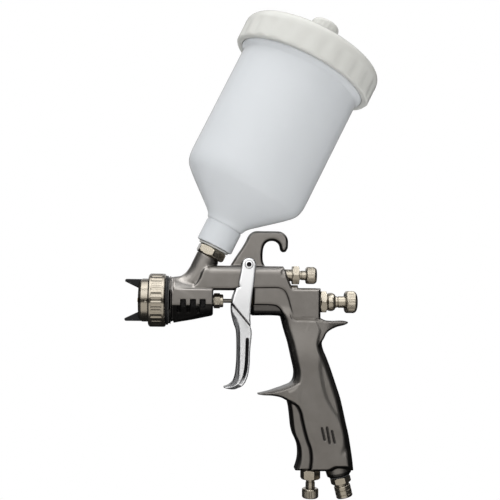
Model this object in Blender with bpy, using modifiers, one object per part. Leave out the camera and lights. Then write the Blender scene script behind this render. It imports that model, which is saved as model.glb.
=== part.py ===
"""HVLP gravity-feed spray gun: a cast body with hook, barrel and handle, a tilted plastic cup,
an air cap end, a two-arm trigger, a coaxial air valve and fluid needle, three adjusters and an air inlet.

The gun is laid out in its own frame: the spray axis is X with the jet towards -X, the fluid tip at X = 0,
+Z up and Y across. An empty then carries the whole gun so that the world origin is the
centre of the bottom of its bounding box.
"""

import math

import bmesh
import bpy
from mathutils import Vector

MM = 0.001

# ---------------------------------------------------------------- driving dimensions, millimetres
ROW_OFFSET = (-83.355, 0.0, 142.669)  # puts the origin under the middle of the whole gun
GAP = 0.3  # running and seating gap between neighbouring pieces

# spray axis
NEEDLE_R = 1.5
NEEDLE_END = 128.0
CAP_R = 15.7
RING_R = 19.4
RING_FRONT, RING_BACK = 8.2, 20.3
FLUTES = 20
DISTRIBUTOR_R = 17.4
BODY_FRONT = 24.6

# cup
CUP_FOOT = (36.8, 0.0, 0.0)  # the cup axis meets the spray axis here
CUP_TILT = math.radians(26.0)
CUP_R = 46.8
CUP_WALL = 2.2
LID_R = 54.5
LID_LOW = 188.6

# barrel, handle and trigger
BARREL_TOP, BARREL_LOW, BARREL_HALF = 25.6, 7.6, 9.6
FAN_Z = 19.3
GRIP_HALF = 11.2
PANEL_HALF = 12.4
BASE_Z = -121.5
PIVOT = (81.4, 0.0, 26.3)
ARM_IN, ARM_OUT = 12.6, 14.2
PUSHER = (73.9, 2.3)  # centre X on the spray axis and radius of the rib that pushes the valve stem

# air valve and needle travel: stem 6.585 at full pull, needle 4.2
VALVE_BORE_R = 6.6
VALVE_FRONT = 83.5
STEM_FRONT, STEM_BACK = 76.5, 121.5
COLLAR_FRONT = 124.2

# adjusters
REAR_FACE = 134.3
CONTROL_X = 128.3
INLET_POINT = (149.0, 0.0, -123.0)
INLET_TILT = math.radians(14.0)

SIDES = 20  # facets round a visible turned piece
SIDES_IN = 12  # facets round a hidden one

# ---------------------------------------------------------------- scene
for old in list(bpy.data.objects):
    bpy.data.objects.remove(old, do_unlink=True)

PARTS = bpy.data.collections.new("hvlp_spray_gun")
TOOLS = bpy.data.collections.new("cutters")
bpy.context.scene.collection.children.link(PARTS)
bpy.context.scene.collection.children.link(TOOLS)


def material(name, colour, rough, metal, alpha=1.0):
    made = bpy.data.materials.new(name)
    made.use_nodes = True
    shader = made.node_tree.nodes["Principled BSDF"]
    shader.inputs["Base Color"].default_value = (*colour, 1.0)
    shader.inputs["Roughness"].default_value = rough
    shader.inputs["Metallic"].default_value = metal
    shader.inputs["Alpha"].default_value = alpha
    return made


GUNMETAL = material("gunmetal", (0.20, 0.19, 0.175), 0.38, 0.85)
CHROME = material("chrome", (0.86, 0.87, 0.88), 0.12, 1.0)
NICKEL = material("nickel", (0.62, 0.57, 0.47), 0.25, 1.0)
BLACK = material("black_anodised", (0.02, 0.02, 0.021), 0.4, 0.6)
STEEL = material("steel", (0.55, 0.55, 0.56), 0.3, 1.0)
SEAL = material("seal", (0.03, 0.03, 0.03), 0.7, 0.0)
PTFE = material("ptfe", (0.85, 0.85, 0.82), 0.45, 0.0)
CUP_PLASTIC = material("cup_plastic", (0.72, 0.77, 0.82), 0.35, 0.0)
LID_PLASTIC = material("lid_plastic", (0.80, 0.80, 0.77), 0.45, 0.0)
BRASS = material("brass", (0.62, 0.46, 0.20), 0.3, 1.0)


def empty(name, at, parent=None, turn=None):
    made = bpy.data.objects.new(name, None)
    made.empty_display_size = 0.01
    PARTS.objects.link(made)
    made.parent = parent
    made.location = Vector(at) * MM
    if turn is not None:
        made.rotation_mode = "QUATERNION"
        made.rotation_quaternion = turn
    return made


GUN = empty("gun_frame", ROW_OFFSET)


def axis(name, at, way):
    """An empty whose +Z runs along a turned piece's axis."""
    return empty(name, at, GUN, Vector(way).to_track_quat("Z", "Y"))


SPRAY = axis("spray_axis", (0, 0, 0), (1, 0, 0))
CUP_WAY = (math.sin(CUP_TILT), 0, math.cos(CUP_TILT))
CUP = axis("cup_axis", CUP_FOOT, CUP_WAY)
FAN = axis("fan_axis", (0, 0, FAN_Z), (1, 0, 0))
TRIGGER = axis("trigger_axis", PIVOT, (0, -1, 0))
CONTROL = axis("air_control_axis", (CONTROL_X, 0, 0), (0, 0, -1))
INLET_WAY = (math.sin(INLET_TILT), 0, -math.cos(INLET_TILT))
INLET = axis("air_inlet_axis", INLET_POINT, INLET_WAY)
BOSS = axis("valve_boss_axis", (0, 0, -0.6), (1, 0, 0))


def place(obj, parent, mat, tool):
    (TOOLS if tool else PARTS).objects.link(obj)
    obj.parent = parent
    if tool:
        obj.hide_render = True
        obj.display_type = "WIRE"
    elif mat:
        obj.data.materials.clear()
        obj.data.materials.append(mat)
    return obj


def turned(name, parent, profile, mat=None, sides=SIDES, tool=False):
    """A turned piece. The profile is (radius, height) pairs along the parent's axis. One that starts and ends
    off the axis is a ring. It is put in the order that gives outward faces."""
    ring = profile[0][0] > 0
    around = list(profile)
    area = sum(
        a[0] * b[1] - b[0] * a[1] for a, b in zip(around, around[1:] + around[:1])
    )
    if area > 0:
        around.reverse()
    mesh = bpy.data.meshes.new(name)
    count = len(around)
    edges = [(i, i + 1) for i in range(count - 1)] + ([(count - 1, 0)] if ring else [])
    mesh.from_pydata([(r * MM, 0, z * MM) for r, z in around], edges, [])
    obj = place(bpy.data.objects.new(name, mesh), parent, mat, tool)
    screw = obj.modifiers.new("turn", "SCREW")
    screw.axis = "Z"
    screw.angle = 2 * math.pi
    screw.steps = screw.render_steps = sides
    screw.use_merge_vertices = True
    screw.merge_threshold = 0.00001
    screw.use_smooth_shade = True
    return obj


def rod(name, parent, r, low, high, sides=SIDES_IN, tool=True, mat=None):
    return turned(
        name, parent, [(0, high), (r, high), (r, low), (0, low)], mat, sides, tool
    )


def cutting_rod(name, start, end, r, sides=16):
    """A drill from one point to another in the gun's frame."""
    start, end = Vector(start), Vector(end)
    bpy.ops.mesh.primitive_cylinder_add(
        vertices=sides, radius=r * MM, depth=(end - start).length * MM
    )
    obj = bpy.context.object
    obj.name = name
    for holder in list(obj.users_collection):
        holder.objects.unlink(obj)
    place(obj, GUN, None, True)
    obj.location = (start + end) / 2 * MM
    obj.rotation_mode = "QUATERNION"
    obj.rotation_quaternion = (end - start).to_track_quat("Z", "Y")
    return obj


def to_mesh(curve):
    """The mesh of a curve object, welded, in the curve's place."""
    bpy.context.view_layer.update()
    graph = bpy.context.evaluated_depsgraph_get()
    mesh = bpy.data.meshes.new_from_object(curve.evaluated_get(graph))
    work = bmesh.new()
    work.from_mesh(mesh)
    bmesh.ops.remove_doubles(work, verts=work.verts, dist=0.000001)
    bmesh.ops.recalc_face_normals(work, faces=work.faces)
    work.to_mesh(mesh)
    work.free()
    return mesh


def plate(name, outline, half, mat=None, tool=False, bevel=0.0, segments=2, middle=0.0, angle=35):
    """A flat outline in the X-Z plane, half its width to each side of Y = middle."""
    data = bpy.data.curves.new(name + "_outline", "CURVE")
    data.dimensions = "2D"
    data.fill_mode = "BOTH"
    data.extrude = half * MM
    line = data.splines.new("POLY")
    line.points.add(len(outline) - 1)
    for point, (x, z) in zip(line.points, outline):
        point.co = (x * MM, z * MM, 0, 1)
    line.use_cyclic_u = True
    drawn = bpy.data.objects.new(name + "_outline", data)
    TOOLS.objects.link(drawn)
    mesh = to_mesh(drawn)
    bpy.data.objects.remove(drawn, do_unlink=True)
    bpy.data.curves.remove(data)
    work = bmesh.new()
    work.from_mesh(mesh)
    for side in (1, -1):
        flat = [f for f in work.faces if f.normal.z * side > 0.99]
        if flat:
            bmesh.ops.dissolve_faces(work, faces=flat)
    work.to_mesh(mesh)
    work.free()
    mesh.name = name
    obj = place(bpy.data.objects.new(name, mesh), GUN, mat, tool)
    obj.rotation_euler = (math.pi / 2, 0, 0)
    obj.location = (0, middle * MM, 0)
    if bevel:
        edge = obj.modifiers.new("edge", "BEVEL")
        edge.width = bevel * MM
        edge.segments = segments
        edge.limit_method = "ANGLE"
        edge.angle_limit = math.radians(angle)
    return obj


def hexagon(name, parent, across_corners, low, high, tool=True):
    """A hexagonal bar round an axis."""
    bpy.ops.mesh.primitive_cylinder_add(
        vertices=6, radius=across_corners / 2 * MM, depth=(high - low) * MM
    )
    obj = bpy.context.object
    obj.name = name
    for holder in list(obj.users_collection):
        holder.objects.unlink(obj)
    place(obj, parent, None, tool)
    obj.location = (0, 0, (low + high) / 2 * MM)
    return obj


def join(obj, *others):
    for other in others:
        step = obj.modifiers.new("join_" + other.name, "BOOLEAN")
        step.operation = "UNION"
        step.solver = "EXACT"
        step.object = other
    return obj


def cut(obj, *others):
    for other in others:
        step = obj.modifiers.new("cut_" + other.name, "BOOLEAN")
        step.operation = "DIFFERENCE"
        step.solver = "EXACT"
        step.object = other
    return obj


def coil(name, parent, mat, r, wire, low, high, turns, per_turn=8):
    """A round-wire spring along the parent's axis, between two heights."""
    data = bpy.data.curves.new(name, "CURVE")
    data.dimensions = "3D"
    data.bevel_depth = wire * MM
    data.bevel_resolution = 0
    data.use_fill_caps = True
    line = data.splines.new("POLY")
    count = int(turns * per_turn) + 1
    line.points.add(count - 1)
    for i, point in enumerate(line.points):
        t = i / (count - 1)
        a = 2 * math.pi * turns * t
        z = low + wire + (high - low - 2 * wire) * t
        point.co = (r * math.cos(a) * MM, r * math.sin(a) * MM, z * MM, 1)
    drawn = bpy.data.objects.new(name + "_wire", data)
    TOOLS.objects.link(drawn)
    mesh = to_mesh(drawn)
    bpy.data.objects.remove(drawn, do_unlink=True)
    bpy.data.curves.remove(data)
    mesh.name = name
    mesh.shade_smooth()
    return place(bpy.data.objects.new(name, mesh), parent, mat, False)


def arc(cx, cz, r, first, last, count):
    """Points on a circle from one angle to another, in degrees from +X."""
    return [
        (
            cx + r * math.cos(math.radians(first + (last - first) * i / (count - 1))),
            cz + r * math.sin(math.radians(first + (last - first) * i / (count - 1))),
        )
        for i in range(count)
    ]


# ---------------------------------------------------------------- cast body
GRIP = [
    (103, -6), (107.5, -18.5), (111, -29.5), (114, -42), (115.6, -50.5), (114.5, -58), (111.5, -65),
    (110.6, -72), (112.4, -79), (113.3, -88), (115, -96), (118.2, -103.5), (119, -110), (118.3, -116),
    (116.5, BASE_Z), (159, BASE_Z), (158, -112), (155.5, -96), (151.5, -78.5), (146.5, -61),
    (141.5, -46), (136.7, -35), (135.5, -30), (136.4, -25), (139, -20.5), (137.5, -13), (131, -6),
]
body = plate("gun_body", GRIP, GRIP_HALF, GUNMETAL, bevel=4.2, segments=2, angle=50)
panel = plate(
    "body_side_panels",
    [
        (112, -14), (127, -14), (130, -26), (129.5, -34), (135, -47), (140, -61), (145, -79), (149, -96),
        (151.5, -110), (152.5, -120), (126.2, -120), (127, -112), (126.3, -105.5), (123.8, -98), (121.2, -88),
        (119.5, -79), (118.5, -68), (119.5, -57), (119, -46), (116, -34),
    ],
    PANEL_HALF, tool=True, bevel=1.0, segments=1,
)
spur = plate(
    "body_finger_spur",
    [
        (113, -54), (112, -59.5), (108, -61.7), (103, -63.3), (92, -66.2), (88.5, -67.4), (93.5, -68.4),
        (99.5, -68.4), (105.5, -69.3), (109, -71.5), (113, -78), (120, -72), (120, -56),
    ],
    7.6, tool=True, bevel=0.8, segments=1,
)
tang = plate(
    "body_rear_tang",
    [
        (130, -11), (136.5, -13.3), (143, -13.9), (150.5, -13.6), (154.4, -14.1), (155.1, -15.2), (152, -16.9),
        (147, -18.1), (142.5, -19.9), (138.5, -22.8), (134, -28), (126, -22),
    ],
    8.8, tool=True, bevel=0.8, segments=1,
)
block = plate(
    "body_rear_block",
    [(99, 8.6), (106, 9.9), (REAR_FACE, 9.9), (REAR_FACE, -11.5), (114, -13), (104, -10), (99, -8)],
    10.8, tool=True, bevel=2.2, segments=1, angle=50,
)
boss = turned(
    "body_valve_boss", BOSS,
    [(0, 110), (9.6, 110), (9.6, VALVE_FRONT + 0.8), (8.8, VALVE_FRONT), (0, VALVE_FRONT)], tool=True,
)
barrel = plate(
    "body_barrel",
    [
        (47, BARREL_LOW), (47, 16), (52, 21.5), (60, BARREL_TOP), (107.2, BARREL_TOP), (109, 21), (111.5, 14),
        (114.2, BARREL_LOW),
    ],
    BARREL_HALF, tool=True, bevel=2.8, segments=2, angle=70,
)
head = turned(
    "body_head", SPRAY,
    [(0, 56), (9.6, 56), (10.6, 55), (13.6, 41), (15.4, 31), (16.2, 27.4), (17.2, 26.8), (17.2, BODY_FRONT), (0, BODY_FRONT)],
    tool=True,
)
pads = plate(
    "body_head_pads",
    [(27.3, 8), (54.8, 8), (55.6, 7.2), (55.6, -2.3), (27.3, -2.3)],
    13.7, tool=True, bevel=0.7, segments=1,
)
elbow = plate(
    "body_head_elbow",
    [(27, 4), (27, 16.6), (31, 18), (36, 19.8), (39, 25), (53, 22), (58, 20), (58, 8), (54, 3)],
    9.9, tool=True, bevel=2.6, segments=2, angle=70,
)
inlet_tube = turned(
    "body_inlet_tube", CUP,
    [(0, 35.7), (7.2, 35.7), (8.0, 34.9), (8.0, 4), (0, 4)], tool=True,
)
hook = plate(
    "body_hook",
    [
        (69.2, 22), (69.2, 26.2), (70.6, 30), (73.5, 34.5), (76.5, 39), (79.5, 44), (81.4, 48.2), (83.5, 50.6),
        (86.5, 52)
    ]
    + arc(103, 44.1, 8.1, 90, 0, 6)
    + [(110.2, 39.5)]
    + arc(107.4, 38.8, 2.3, -10, -160, 4)
    + [(104.2, 41.2), (102.6, 43.4), (100, 44.6), (97.5, 44.6), (94.8, 43.4), (92.8, 40.6), (92.1, 36), (92.3, 29), (93.8, 25), (93.8, 22)],
    4.3, tool=True, bevel=1.3, segments=1, angle=50,
)
pivot_boss = rod("body_pivot_boss", TRIGGER, 5.2, -12.3, 12.3)
foot = turned(
    "body_inlet_foot", INLET,
    [(0, 2.6), (8.3, 2.6), (9.1, 1.8), (9.3, -8), (0, -8)], tool=True,
)
join(body, panel, spur, tang, block, boss, barrel, head, pads, elbow, inlet_tube, hook, pivot_boss, foot)

nozzle_bore = turned(
    "bore_nozzle_fluid_and_gland", SPRAY,
    [(0, 60), (4.4, 60), (4.4, 50.2), (3.4, 50.2), (3.4, 34.3), (6.3, 34.3), (6.3, 20), (0, 20)],
    sides=SIDES_IN, tool=True,
)
valve_bore = rod("bore_air_valve", SPRAY, VALVE_BORE_R, 78, 140)
cup_bore = turned(
    "bore_cup", CUP,
    [(0, 40), (5.3, 40), (5.3, 23), (3.0, 23), (3.0, 0), (0, 0)], sides=SIDES_IN, tool=True,
)
fan_bore = turned(
    "bore_fan", FAN,
    [(0, 120), (4.7, 120), (4.7, 100.5), (2.2, 100.5), (2.2, 64), (0, 64)], sides=SIDES_IN, tool=True,
)
air_left = cutting_rod("bore_air_way_left", (68, 0, 19.3), (20, 13.2, 2.7), 1.5, 10)
air_right = cutting_rod("bore_air_way_right", (68, 0, 19.3), (20, -13.2, 2.7), 1.5, 10)
link = cutting_rod("bore_valve_to_fan", (97, 0, 2), (97, 0, 22.5), 2.0, 12)
plug_bore = cutting_rod("bore_plug", (97, 0, 22.2), (97, 0, 32), 2.5, 16)
pin_bore = rod("bore_trigger_pin", TRIGGER, 2.3, -20, 20)
control_bore = rod("bore_air_control", CONTROL, 4.7, 93, 130)
rise = cutting_rod("bore_handle_rise", (129, 0, -97), (112.5, 0, -2), 3.3)
cross = cutting_rod("bore_handle_cross", (143.2, 0, -99), (128.5, 0, -96), 2.6)
inlet_bore = turned(
    "bore_inlet", INLET,
    [(0, 10), (5.3, 10), (5.3, -9), (3.3, -9), (3.3, -26), (0, -26)], sides=SIDES_IN, tool=True,
)
rib_cuts = []
for i, x in enumerate((34.4, 41.4, 48.8)):
    for side in (-1, 1):
        rib_cuts.append(
            cutting_rod("rib_gap_%d_%s" % (i, "lr"[side > 0]), (x, side * 14.6, -20), (x, side * 14.6, 1.3), 1.9, 10)
        )
cut(body, nozzle_bore, valve_bore, cup_bore, fan_bore, air_left, air_right, link, plug_bore, pin_bore,
    control_bore, rise, cross, inlet_bore, *rib_cuts)

rod("passage_plug", axis("plug_axis", (97, 0, 0), (0, 0, 1)), 2.2, 22.6, 25.2, 16, False, STEEL)

# ---------------------------------------------------------------- air cap end
cap = turned(
    "air_cap", SPRAY,
    [
        (2.1, 0.7), (3.4, 0.7), (4.2, 2.0), (9.4, 2.0), (10.2, 1.2), (13.6, 1.2), (CAP_R - 0.3, 2.8), (CAP_R, 3.6),
        (CAP_R, 9.6), (16.9, 9.6), (16.9, 11.6), (13.6, 11.6), (13.6, 9.4), (4.5, 4.4), (2.1, 3.2),
    ],
    NICKEL,
)
horn_up = plate("air_cap_horn_up", [(4, 15.3), (-8.3, 15.3), (-9.1, 14.7), (-9.1, 13.2), (1.6, 8.2), (4, 8.2)], 4.2, tool=True, bevel=0.5, segments=1)
horn_down = plate("air_cap_horn_down", [(4, -8.2), (1.6, -8.2), (-9.1, -13.2), (-9.1, -14.7), (-8.3, -15.3), (4, -15.3)], 4.2, tool=True, bevel=0.5, segments=1)
join(cap, horn_up, horn_down)

ring = turned(
    "air_cap_ring", SPRAY,
    [
        (16.1, RING_FRONT), (18.4, RING_FRONT), (RING_R, RING_FRONT + 1.1), (RING_R, RING_BACK - 0.9),
        (18.5, RING_BACK), (17.3, RING_BACK), (17.3, RING_FRONT + 1.1), (16.1, RING_FRONT + 1.1),
    ],
    NICKEL, sides=30,
)
for i in range(FLUTES):
    a = 2 * math.pi * (i + 0.5) / FLUTES
    flute = cutting_rod(
        "ring_flute_%02d" % i,
        (10.5, (RING_R + 0.9) * math.sin(a), (RING_R + 0.9) * math.cos(a)),
        (17.8, (RING_R + 0.9) * math.sin(a), (RING_R + 0.9) * math.cos(a)),
        1.6, 4,
    )
    cut(ring, flute)

distributor = turned(
    "air_distributor", SPRAY,
    [(7.4, 12.0), (16.9, 12.0), (16.9, 20.6), (DISTRIBUTOR_R, 20.6), (DISTRIBUTOR_R, 23.2), (7.4, 23.2)],
    BLACK,
)
for i in range(6):
    a = 2 * math.pi * (i + 0.5) / 6
    cut(distributor, cutting_rod("distributor_port_%d" % i, (5, 12.2 * math.sin(a), 12.2 * math.cos(a)), (30, 12.2 * math.sin(a), 12.2 * math.cos(a)), 1.6, 8))
turned("head_gasket", SPRAY, [(7.4, 23.5), (16.8, 23.5), (16.8, 24.3), (7.4, 24.3)], SEAL)
nozzle = turned(
    "fluid_nozzle", SPRAY,
    [
        (0.75, 0.9), (1.6, 0.9), (1.6, 3.4), (6.2, 10.2), (7.0, 11.4), (7.0, 22.8), (6.0, 23.2), (6.0, 34.0),
        (3.0, 34.0), (3.0, 10.0), (2.4, 7.0), (0.75, 2.2),
    ],
    BRASS, sides=SIDES_IN,
)

# ---------------------------------------------------------------- fluid needle line
turned(
    "fluid_needle", SPRAY,
    [(0, 1.2), (0.35, 1.2), (1.0, 7.0), (NEEDLE_R, 12.0), (NEEDLE_R, NEEDLE_END - 0.4), (NEEDLE_R - 0.4, NEEDLE_END), (0, NEEDLE_END)],
    STEEL, sides=16,
)
turned(
    "needle_collar", SPRAY,
    [(NEEDLE_R + GAP, COLLAR_FRONT), (3.9, COLLAR_FRONT), (4.3, COLLAR_FRONT + 0.4), (4.3, 127.0), (NEEDLE_R + GAP, 127.0)],
    STEEL, sides=SIDES_IN,
)
turned("needle_packing", SPRAY, [(1.8, 50.6), (4.1, 50.6), (4.1, 53.8), (1.8, 53.8)], PTFE, sides=SIDES_IN)
nut = turned("packing_nut", SPRAY, [(1.85, 54.1), (4.1, 54.1), (4.1, 56.3), (5.1, 56.3), (5.1, 63.5), (4.3, 63.5), (1.85, 62.7)], NICKEL)
join(nut, hexagon("packing_nut_hex", SPRAY, 11.2, 56.4, 61.2))
cut(nut, rod("packing_nut_bore", SPRAY, 1.85, 50, 70))
coil("needle_spring", SPRAY, STEEL, 3.2, 0.45, 127.3, 136.7, 5)
guide = turned(
    "needle_guide", SPRAY,
    [
        (3.4, 117.0), (5.8, 117.0), (6.3, 117.5), (6.3, 134.6), (7.9, 134.6), (7.9, 139.2), (4.7, 139.2), (4.7, 120.5),
        (3.4, 120.5),
    ],
    NICKEL,
)
join(guide, hexagon("needle_guide_hex", SPRAY, 17.8, 134.65, 139.15))
cut(guide, rod("needle_guide_bore", SPRAY, 4.7, 121, 145))
turned(
    "guide_lock_ring", SPRAY,
    [(4.7, 139.5), (5.6, 139.5), (6.5, 140.6), (6.8, 142.4), (6.6, 144.2), (5.8, 145.5), (5.2, 145.8), (4.7, 145.8)],
    NICKEL,
)
turned(
    "fluid_stop", SPRAY,
    [(0, 138.4), (2.2, 138.4), (2.2, 137.0), (4.3, 137.0), (4.3, 140.0), (0, 140.0)],
    STEEL, sides=SIDES_IN,
)
turned(
    "fluid_knob", SPRAY,
    [
        (0, 140.3), (4.3, 140.3), (4.3, 153.2), (7.2, 153.2), (8.1, 154.1), (8.1, 159.4), (7.6, 160.8), (6.4, 161.7),
        (4.6, 162.1), (0, 162.1),
    ],
    NICKEL,
)

# ---------------------------------------------------------------- air valve
valve = turned(
    "air_valve_body", SPRAY,
    [(3.4, 83.8), (6.0, 83.8), (6.3, 84.1), (6.3, 103.0), (4.8, 103.0), (4.8, 91.0), (3.4, 91.0)], BRASS, sides=SIDES_IN,
)
cut(valve, cutting_rod("air_valve_port", (97, 0, 3.0), (97, 0, 12), 1.9, 12))
turned(
    "air_valve_stem", SPRAY,
    [(NEEDLE_R + GAP, STEM_FRONT), (3.1, STEM_FRONT), (3.1, 105.0), (5.6, 105.0), (5.6, 107.4), (3.1, 107.4), (3.1, STEM_BACK), (NEEDLE_R + GAP, STEM_BACK)],
    STEEL, sides=SIDES_IN,
)
turned("air_valve_seal", SPRAY, [(3.4, 103.3), (5.5, 103.3), (5.5, 104.7), (3.4, 104.7)], SEAL, sides=SIDES_IN)
coil("air_valve_spring", SPRAY, STEEL, 4.4, 0.45, 107.7, 116.7, 3.5)

# ---------------------------------------------------------------- cup
fitting = turned(
    "fluid_inlet_fitting", CUP,
    [(3.5, 23.4), (5.0, 23.4), (5.0, 36.0), (10.0, 36.0), (10.0, 42.6), (8.5, 42.6), (8.5, 60.0), (3.5, 60.0)], NICKEL,
)
join(fitting, hexagon("fluid_inlet_fitting_hex", CUP, 23.2, 36.05, 42.55))
cut(fitting, rod("fluid_inlet_fitting_bore", CUP, 3.5, 20, 65))
turned("cup_gasket", CUP, [(8.8, 42.9), (11.6, 42.9), (11.6, 44.0), (8.8, 44.0)], PTFE)
turned(
    "cup_filter", CUP,
    [(4.6, 60.3), (7.8, 60.3), (7.8, 61.2), (5.4, 61.2), (5.0, 76.0), (0, 78.0), (0, 77.0), (4.3, 75.3), (4.6, 61.2)],
    PTFE, sides=SIDES_IN,
)
turned(
    "cup_body", CUP,
    [
        (8.9, 44.4), (13.4, 44.4), (13.8, 45.0), (13.8, 63.0), (15.2, 65.4), (40.5, 86.6), (44.6, 90.9), (46.4, 95.2),
        (CUP_R, 99.5), (CUP_R, 189.4), (49.4, 190.4), (49.4, 206.0), (CUP_R - CUP_WALL, 206.0), (CUP_R - CUP_WALL, 100.0),
        (44.2, 96.2), (42.4, 92.4), (38.8, 88.4), (13.6, 67.2), (11.6, 64.6), (8.9, 61.6),
    ],
    CUP_PLASTIC, sides=32,
)
turned("lid_gasket", CUP, [(CUP_R - 1.6, 206.3), (49.0, 206.3), (49.0, 207.6), (CUP_R - 1.6, 207.6)], SEAL, sides=24)
turned(
    "cup_lid", CUP,
    [
        (49.8, LID_LOW), (53.4, LID_LOW), (LID_R, LID_LOW + 1.6), (LID_R, 203.6), (53.8, 206.8), (51.6, 209.4), (48, 210.9),
        (36, 213.6), (20, 216.2), (12, 217.0), (3.2, 217.0), (3.2, 214.6), (20, 213.6), (36, 211.0), (46, 207.9), (49.8, 207.9),
    ],
    LID_PLASTIC, sides=32,
)
turned(
    "lid_vent_cap", CUP,
    [
        (0, 231.6), (7.2, 231.6), (9.4, 230.6), (10.4, 228.6), (10.7, 226.0), (10.7, 217.4), (2.7, 217.4), (2.7, 211.0), (0, 211.0),
    ],
    LID_PLASTIC,
)

# ---------------------------------------------------------------- pattern control
gland = turned("fan_valve_gland", FAN, [(3.8, 101.5), (4.4, 101.5), (4.4, 113.8), (6.4, 113.8), (6.4, 119.0), (3.8, 119.0)], NICKEL)
join(gland, hexagon("fan_valve_gland_hex", FAN, 15.2, 113.85, 118.95))
cut(gland, rod("fan_valve_gland_bore", FAN, 3.8, 100, 125))
turned("fan_spindle", FAN, [(0, 102.9), (0.8, 102.9), (3.3, 106.2), (3.3, 109.0), (0, 109.0)], BRASS, sides=SIDES_IN)
turned(
    "fan_knob", FAN,
    [(0, 109.3), (3.5, 109.3), (3.5, 124.0), (5.4, 124.0), (6.3, 124.9), (6.3, 130.4), (5.2, 131.9), (0, 132.1)], NICKEL,
)

# ---------------------------------------------------------------- air volume control, axis pointing down
LOW = -BASE_Z
control = turned(
    "air_control_gland", CONTROL,
    [(3.7, 108.0), (4.4, 108.0), (4.4, LOW + GAP), (6.2, LOW + GAP), (6.2, 128.5), (3.7, 128.5)], NICKEL,
)
join(control, hexagon("air_control_gland_hex", CONTROL, 14.8, LOW + GAP + 0.05, 128.45))
cut(control, rod("air_control_gland_bore", CONTROL, 3.7, 100, 135))
turned("air_control_spindle", CONTROL, [(0, 100.0), (0.9, 100.0), (3.2, 104.0), (3.2, 111.7), (0, 111.7)], BRASS, sides=SIDES_IN)
turned(
    "air_control_knob", CONTROL,
    [(0, 112.0), (3.4, 112.0), (3.4, 135.1), (5.2, 135.1), (6.0, 135.9), (6.0, 141.2), (5.2, 142.1), (0, 142.1)], NICKEL,
)

# ---------------------------------------------------------------- air inlet
nipple = turned(
    "air_inlet_nipple", INLET,
    [
        (3.6, -7.0), (5.0, -7.0), (5.0, 3.9), (6.4, 3.9), (6.4, 8.6), (5.4, 9.0), (5.4, 10.2), (6.0, 10.6), (6.0, 18.4),
        (5.5, 18.9), (3.6, 18.9),
    ],
    NICKEL,
)
join(nipple, hexagon("air_inlet_nipple_hex", INLET, 15.0, 4.0, 8.55))
cut(nipple, rod("air_inlet_nipple_bore", INLET, 3.6, -10, 25))
turned("inlet_gasket", INLET, [(5.3, 2.9), (7.6, 2.9), (7.6, 3.6), (5.3, 3.6)], SEAL, sides=SIDES_IN)

# ---------------------------------------------------------------- trigger
ARM = (
    arc(PIVOT[0], PIVOT[2], 5.3, 180, 0, 9)
    + [
        (86.2, 20.5), (85.5, 13), (84.5, 7), (83.5, 2), (83, -5.5), (82.6, -12), (81.5, -16.5), (77, -16.8), (72, -16),
        (69.6, -11.5), (69, -7), (69, 2), (70.5, 7.4), (73.4, 10.4), (73.6, 13), (74.6, 17),
    ]
)
trigger = plate("trigger", ARM, (ARM_OUT - ARM_IN) / 2, CHROME, middle=(ARM_OUT + ARM_IN) / 2)
arm_two = plate("trigger_arm_two", ARM, (ARM_OUT - ARM_IN) / 2, tool=True, middle=-(ARM_OUT + ARM_IN) / 2)
web = plate(
    "trigger_web",
    [(69.1, 6.2), (72.4, 6.2), (72.4, -6), (72.8, -11), (74.4, -16), (76.2, -19.5), (72.6, -20.4), (70.9, -16.3), (69.7, -11.5), (69.1, -7)],
    ARM_OUT - 0.1, tool=True,
)
blade = plate(
    "trigger_blade",
    [
        (69.2, -5), (69.8, -11.5), (71, -16.5), (73, -22), (73.5, -31.5), (73.5, -42.5), (73, -48.5), (72.4, -53.5), (71, -58),
        (69, -60.2), (64.2, -62.6), (67.5, -63.9), (72, -64.1), (75.5, -62.8), (78.5, -60.5), (80.5, -57.5), (82, -53),
        (83, -46), (83.2, -38.5), (83.7, -33), (84, -27.5), (84.4, -22.5), (83.5, -17.5), (81, -14.8), (76, -11.8),
    ],
    8.8, tool=True, bevel=1.4, segments=2, angle=50,
)
channel = plate(
    "trigger_channel",
    [(90, -14), (77.5, -16), (76.6, -24), (76.8, -31.5), (76.8, -42.5), (76.2, -50), (76.4, -55), (79, -57), (90, -54)],
    6.6, tool=True,
)
pusher = rod("trigger_pusher", axis("pusher_axis", (PUSHER[0], 0, 0), (0, -1, 0)), PUSHER[1], -5.0, 5.0, 20)
slot = plate("trigger_needle_slot", [(60, -4.2), (95, -4.2), (95, 5.4), (60, 5.4)], 2.2, tool=True)
join(trigger, arm_two, web, blade, pusher)
cut(trigger, channel, slot, pin_bore)

pin = turned(
    "trigger_pin", TRIGGER,
    [(0, 15.9), (2.4, 15.9), (3.1, 15.3), (3.1, 14.5), (2.0, 14.5), (2.0, -15.6), (1.7, -15.9), (0, -15.9)], STEEL, sides=SIDES_IN,
)
turned("trigger_pin_clip", TRIGGER, [(2.3, -14.5), (3.6, -14.5), (3.6, -15.3), (2.3, -15.3)], STEEL, sides=SIDES_IN)

# ---------------------------------------------------------------- shading
for obj in PARTS.objects:
    if obj.type == "MESH" and obj.data.polygons:
        obj.data.shade_smooth()
        obj.data.set_sharp_from_angle(angle=math.radians(35))
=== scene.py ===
import math

import bpy
import numpy as np
from mathutils import Matrix, Vector


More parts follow.
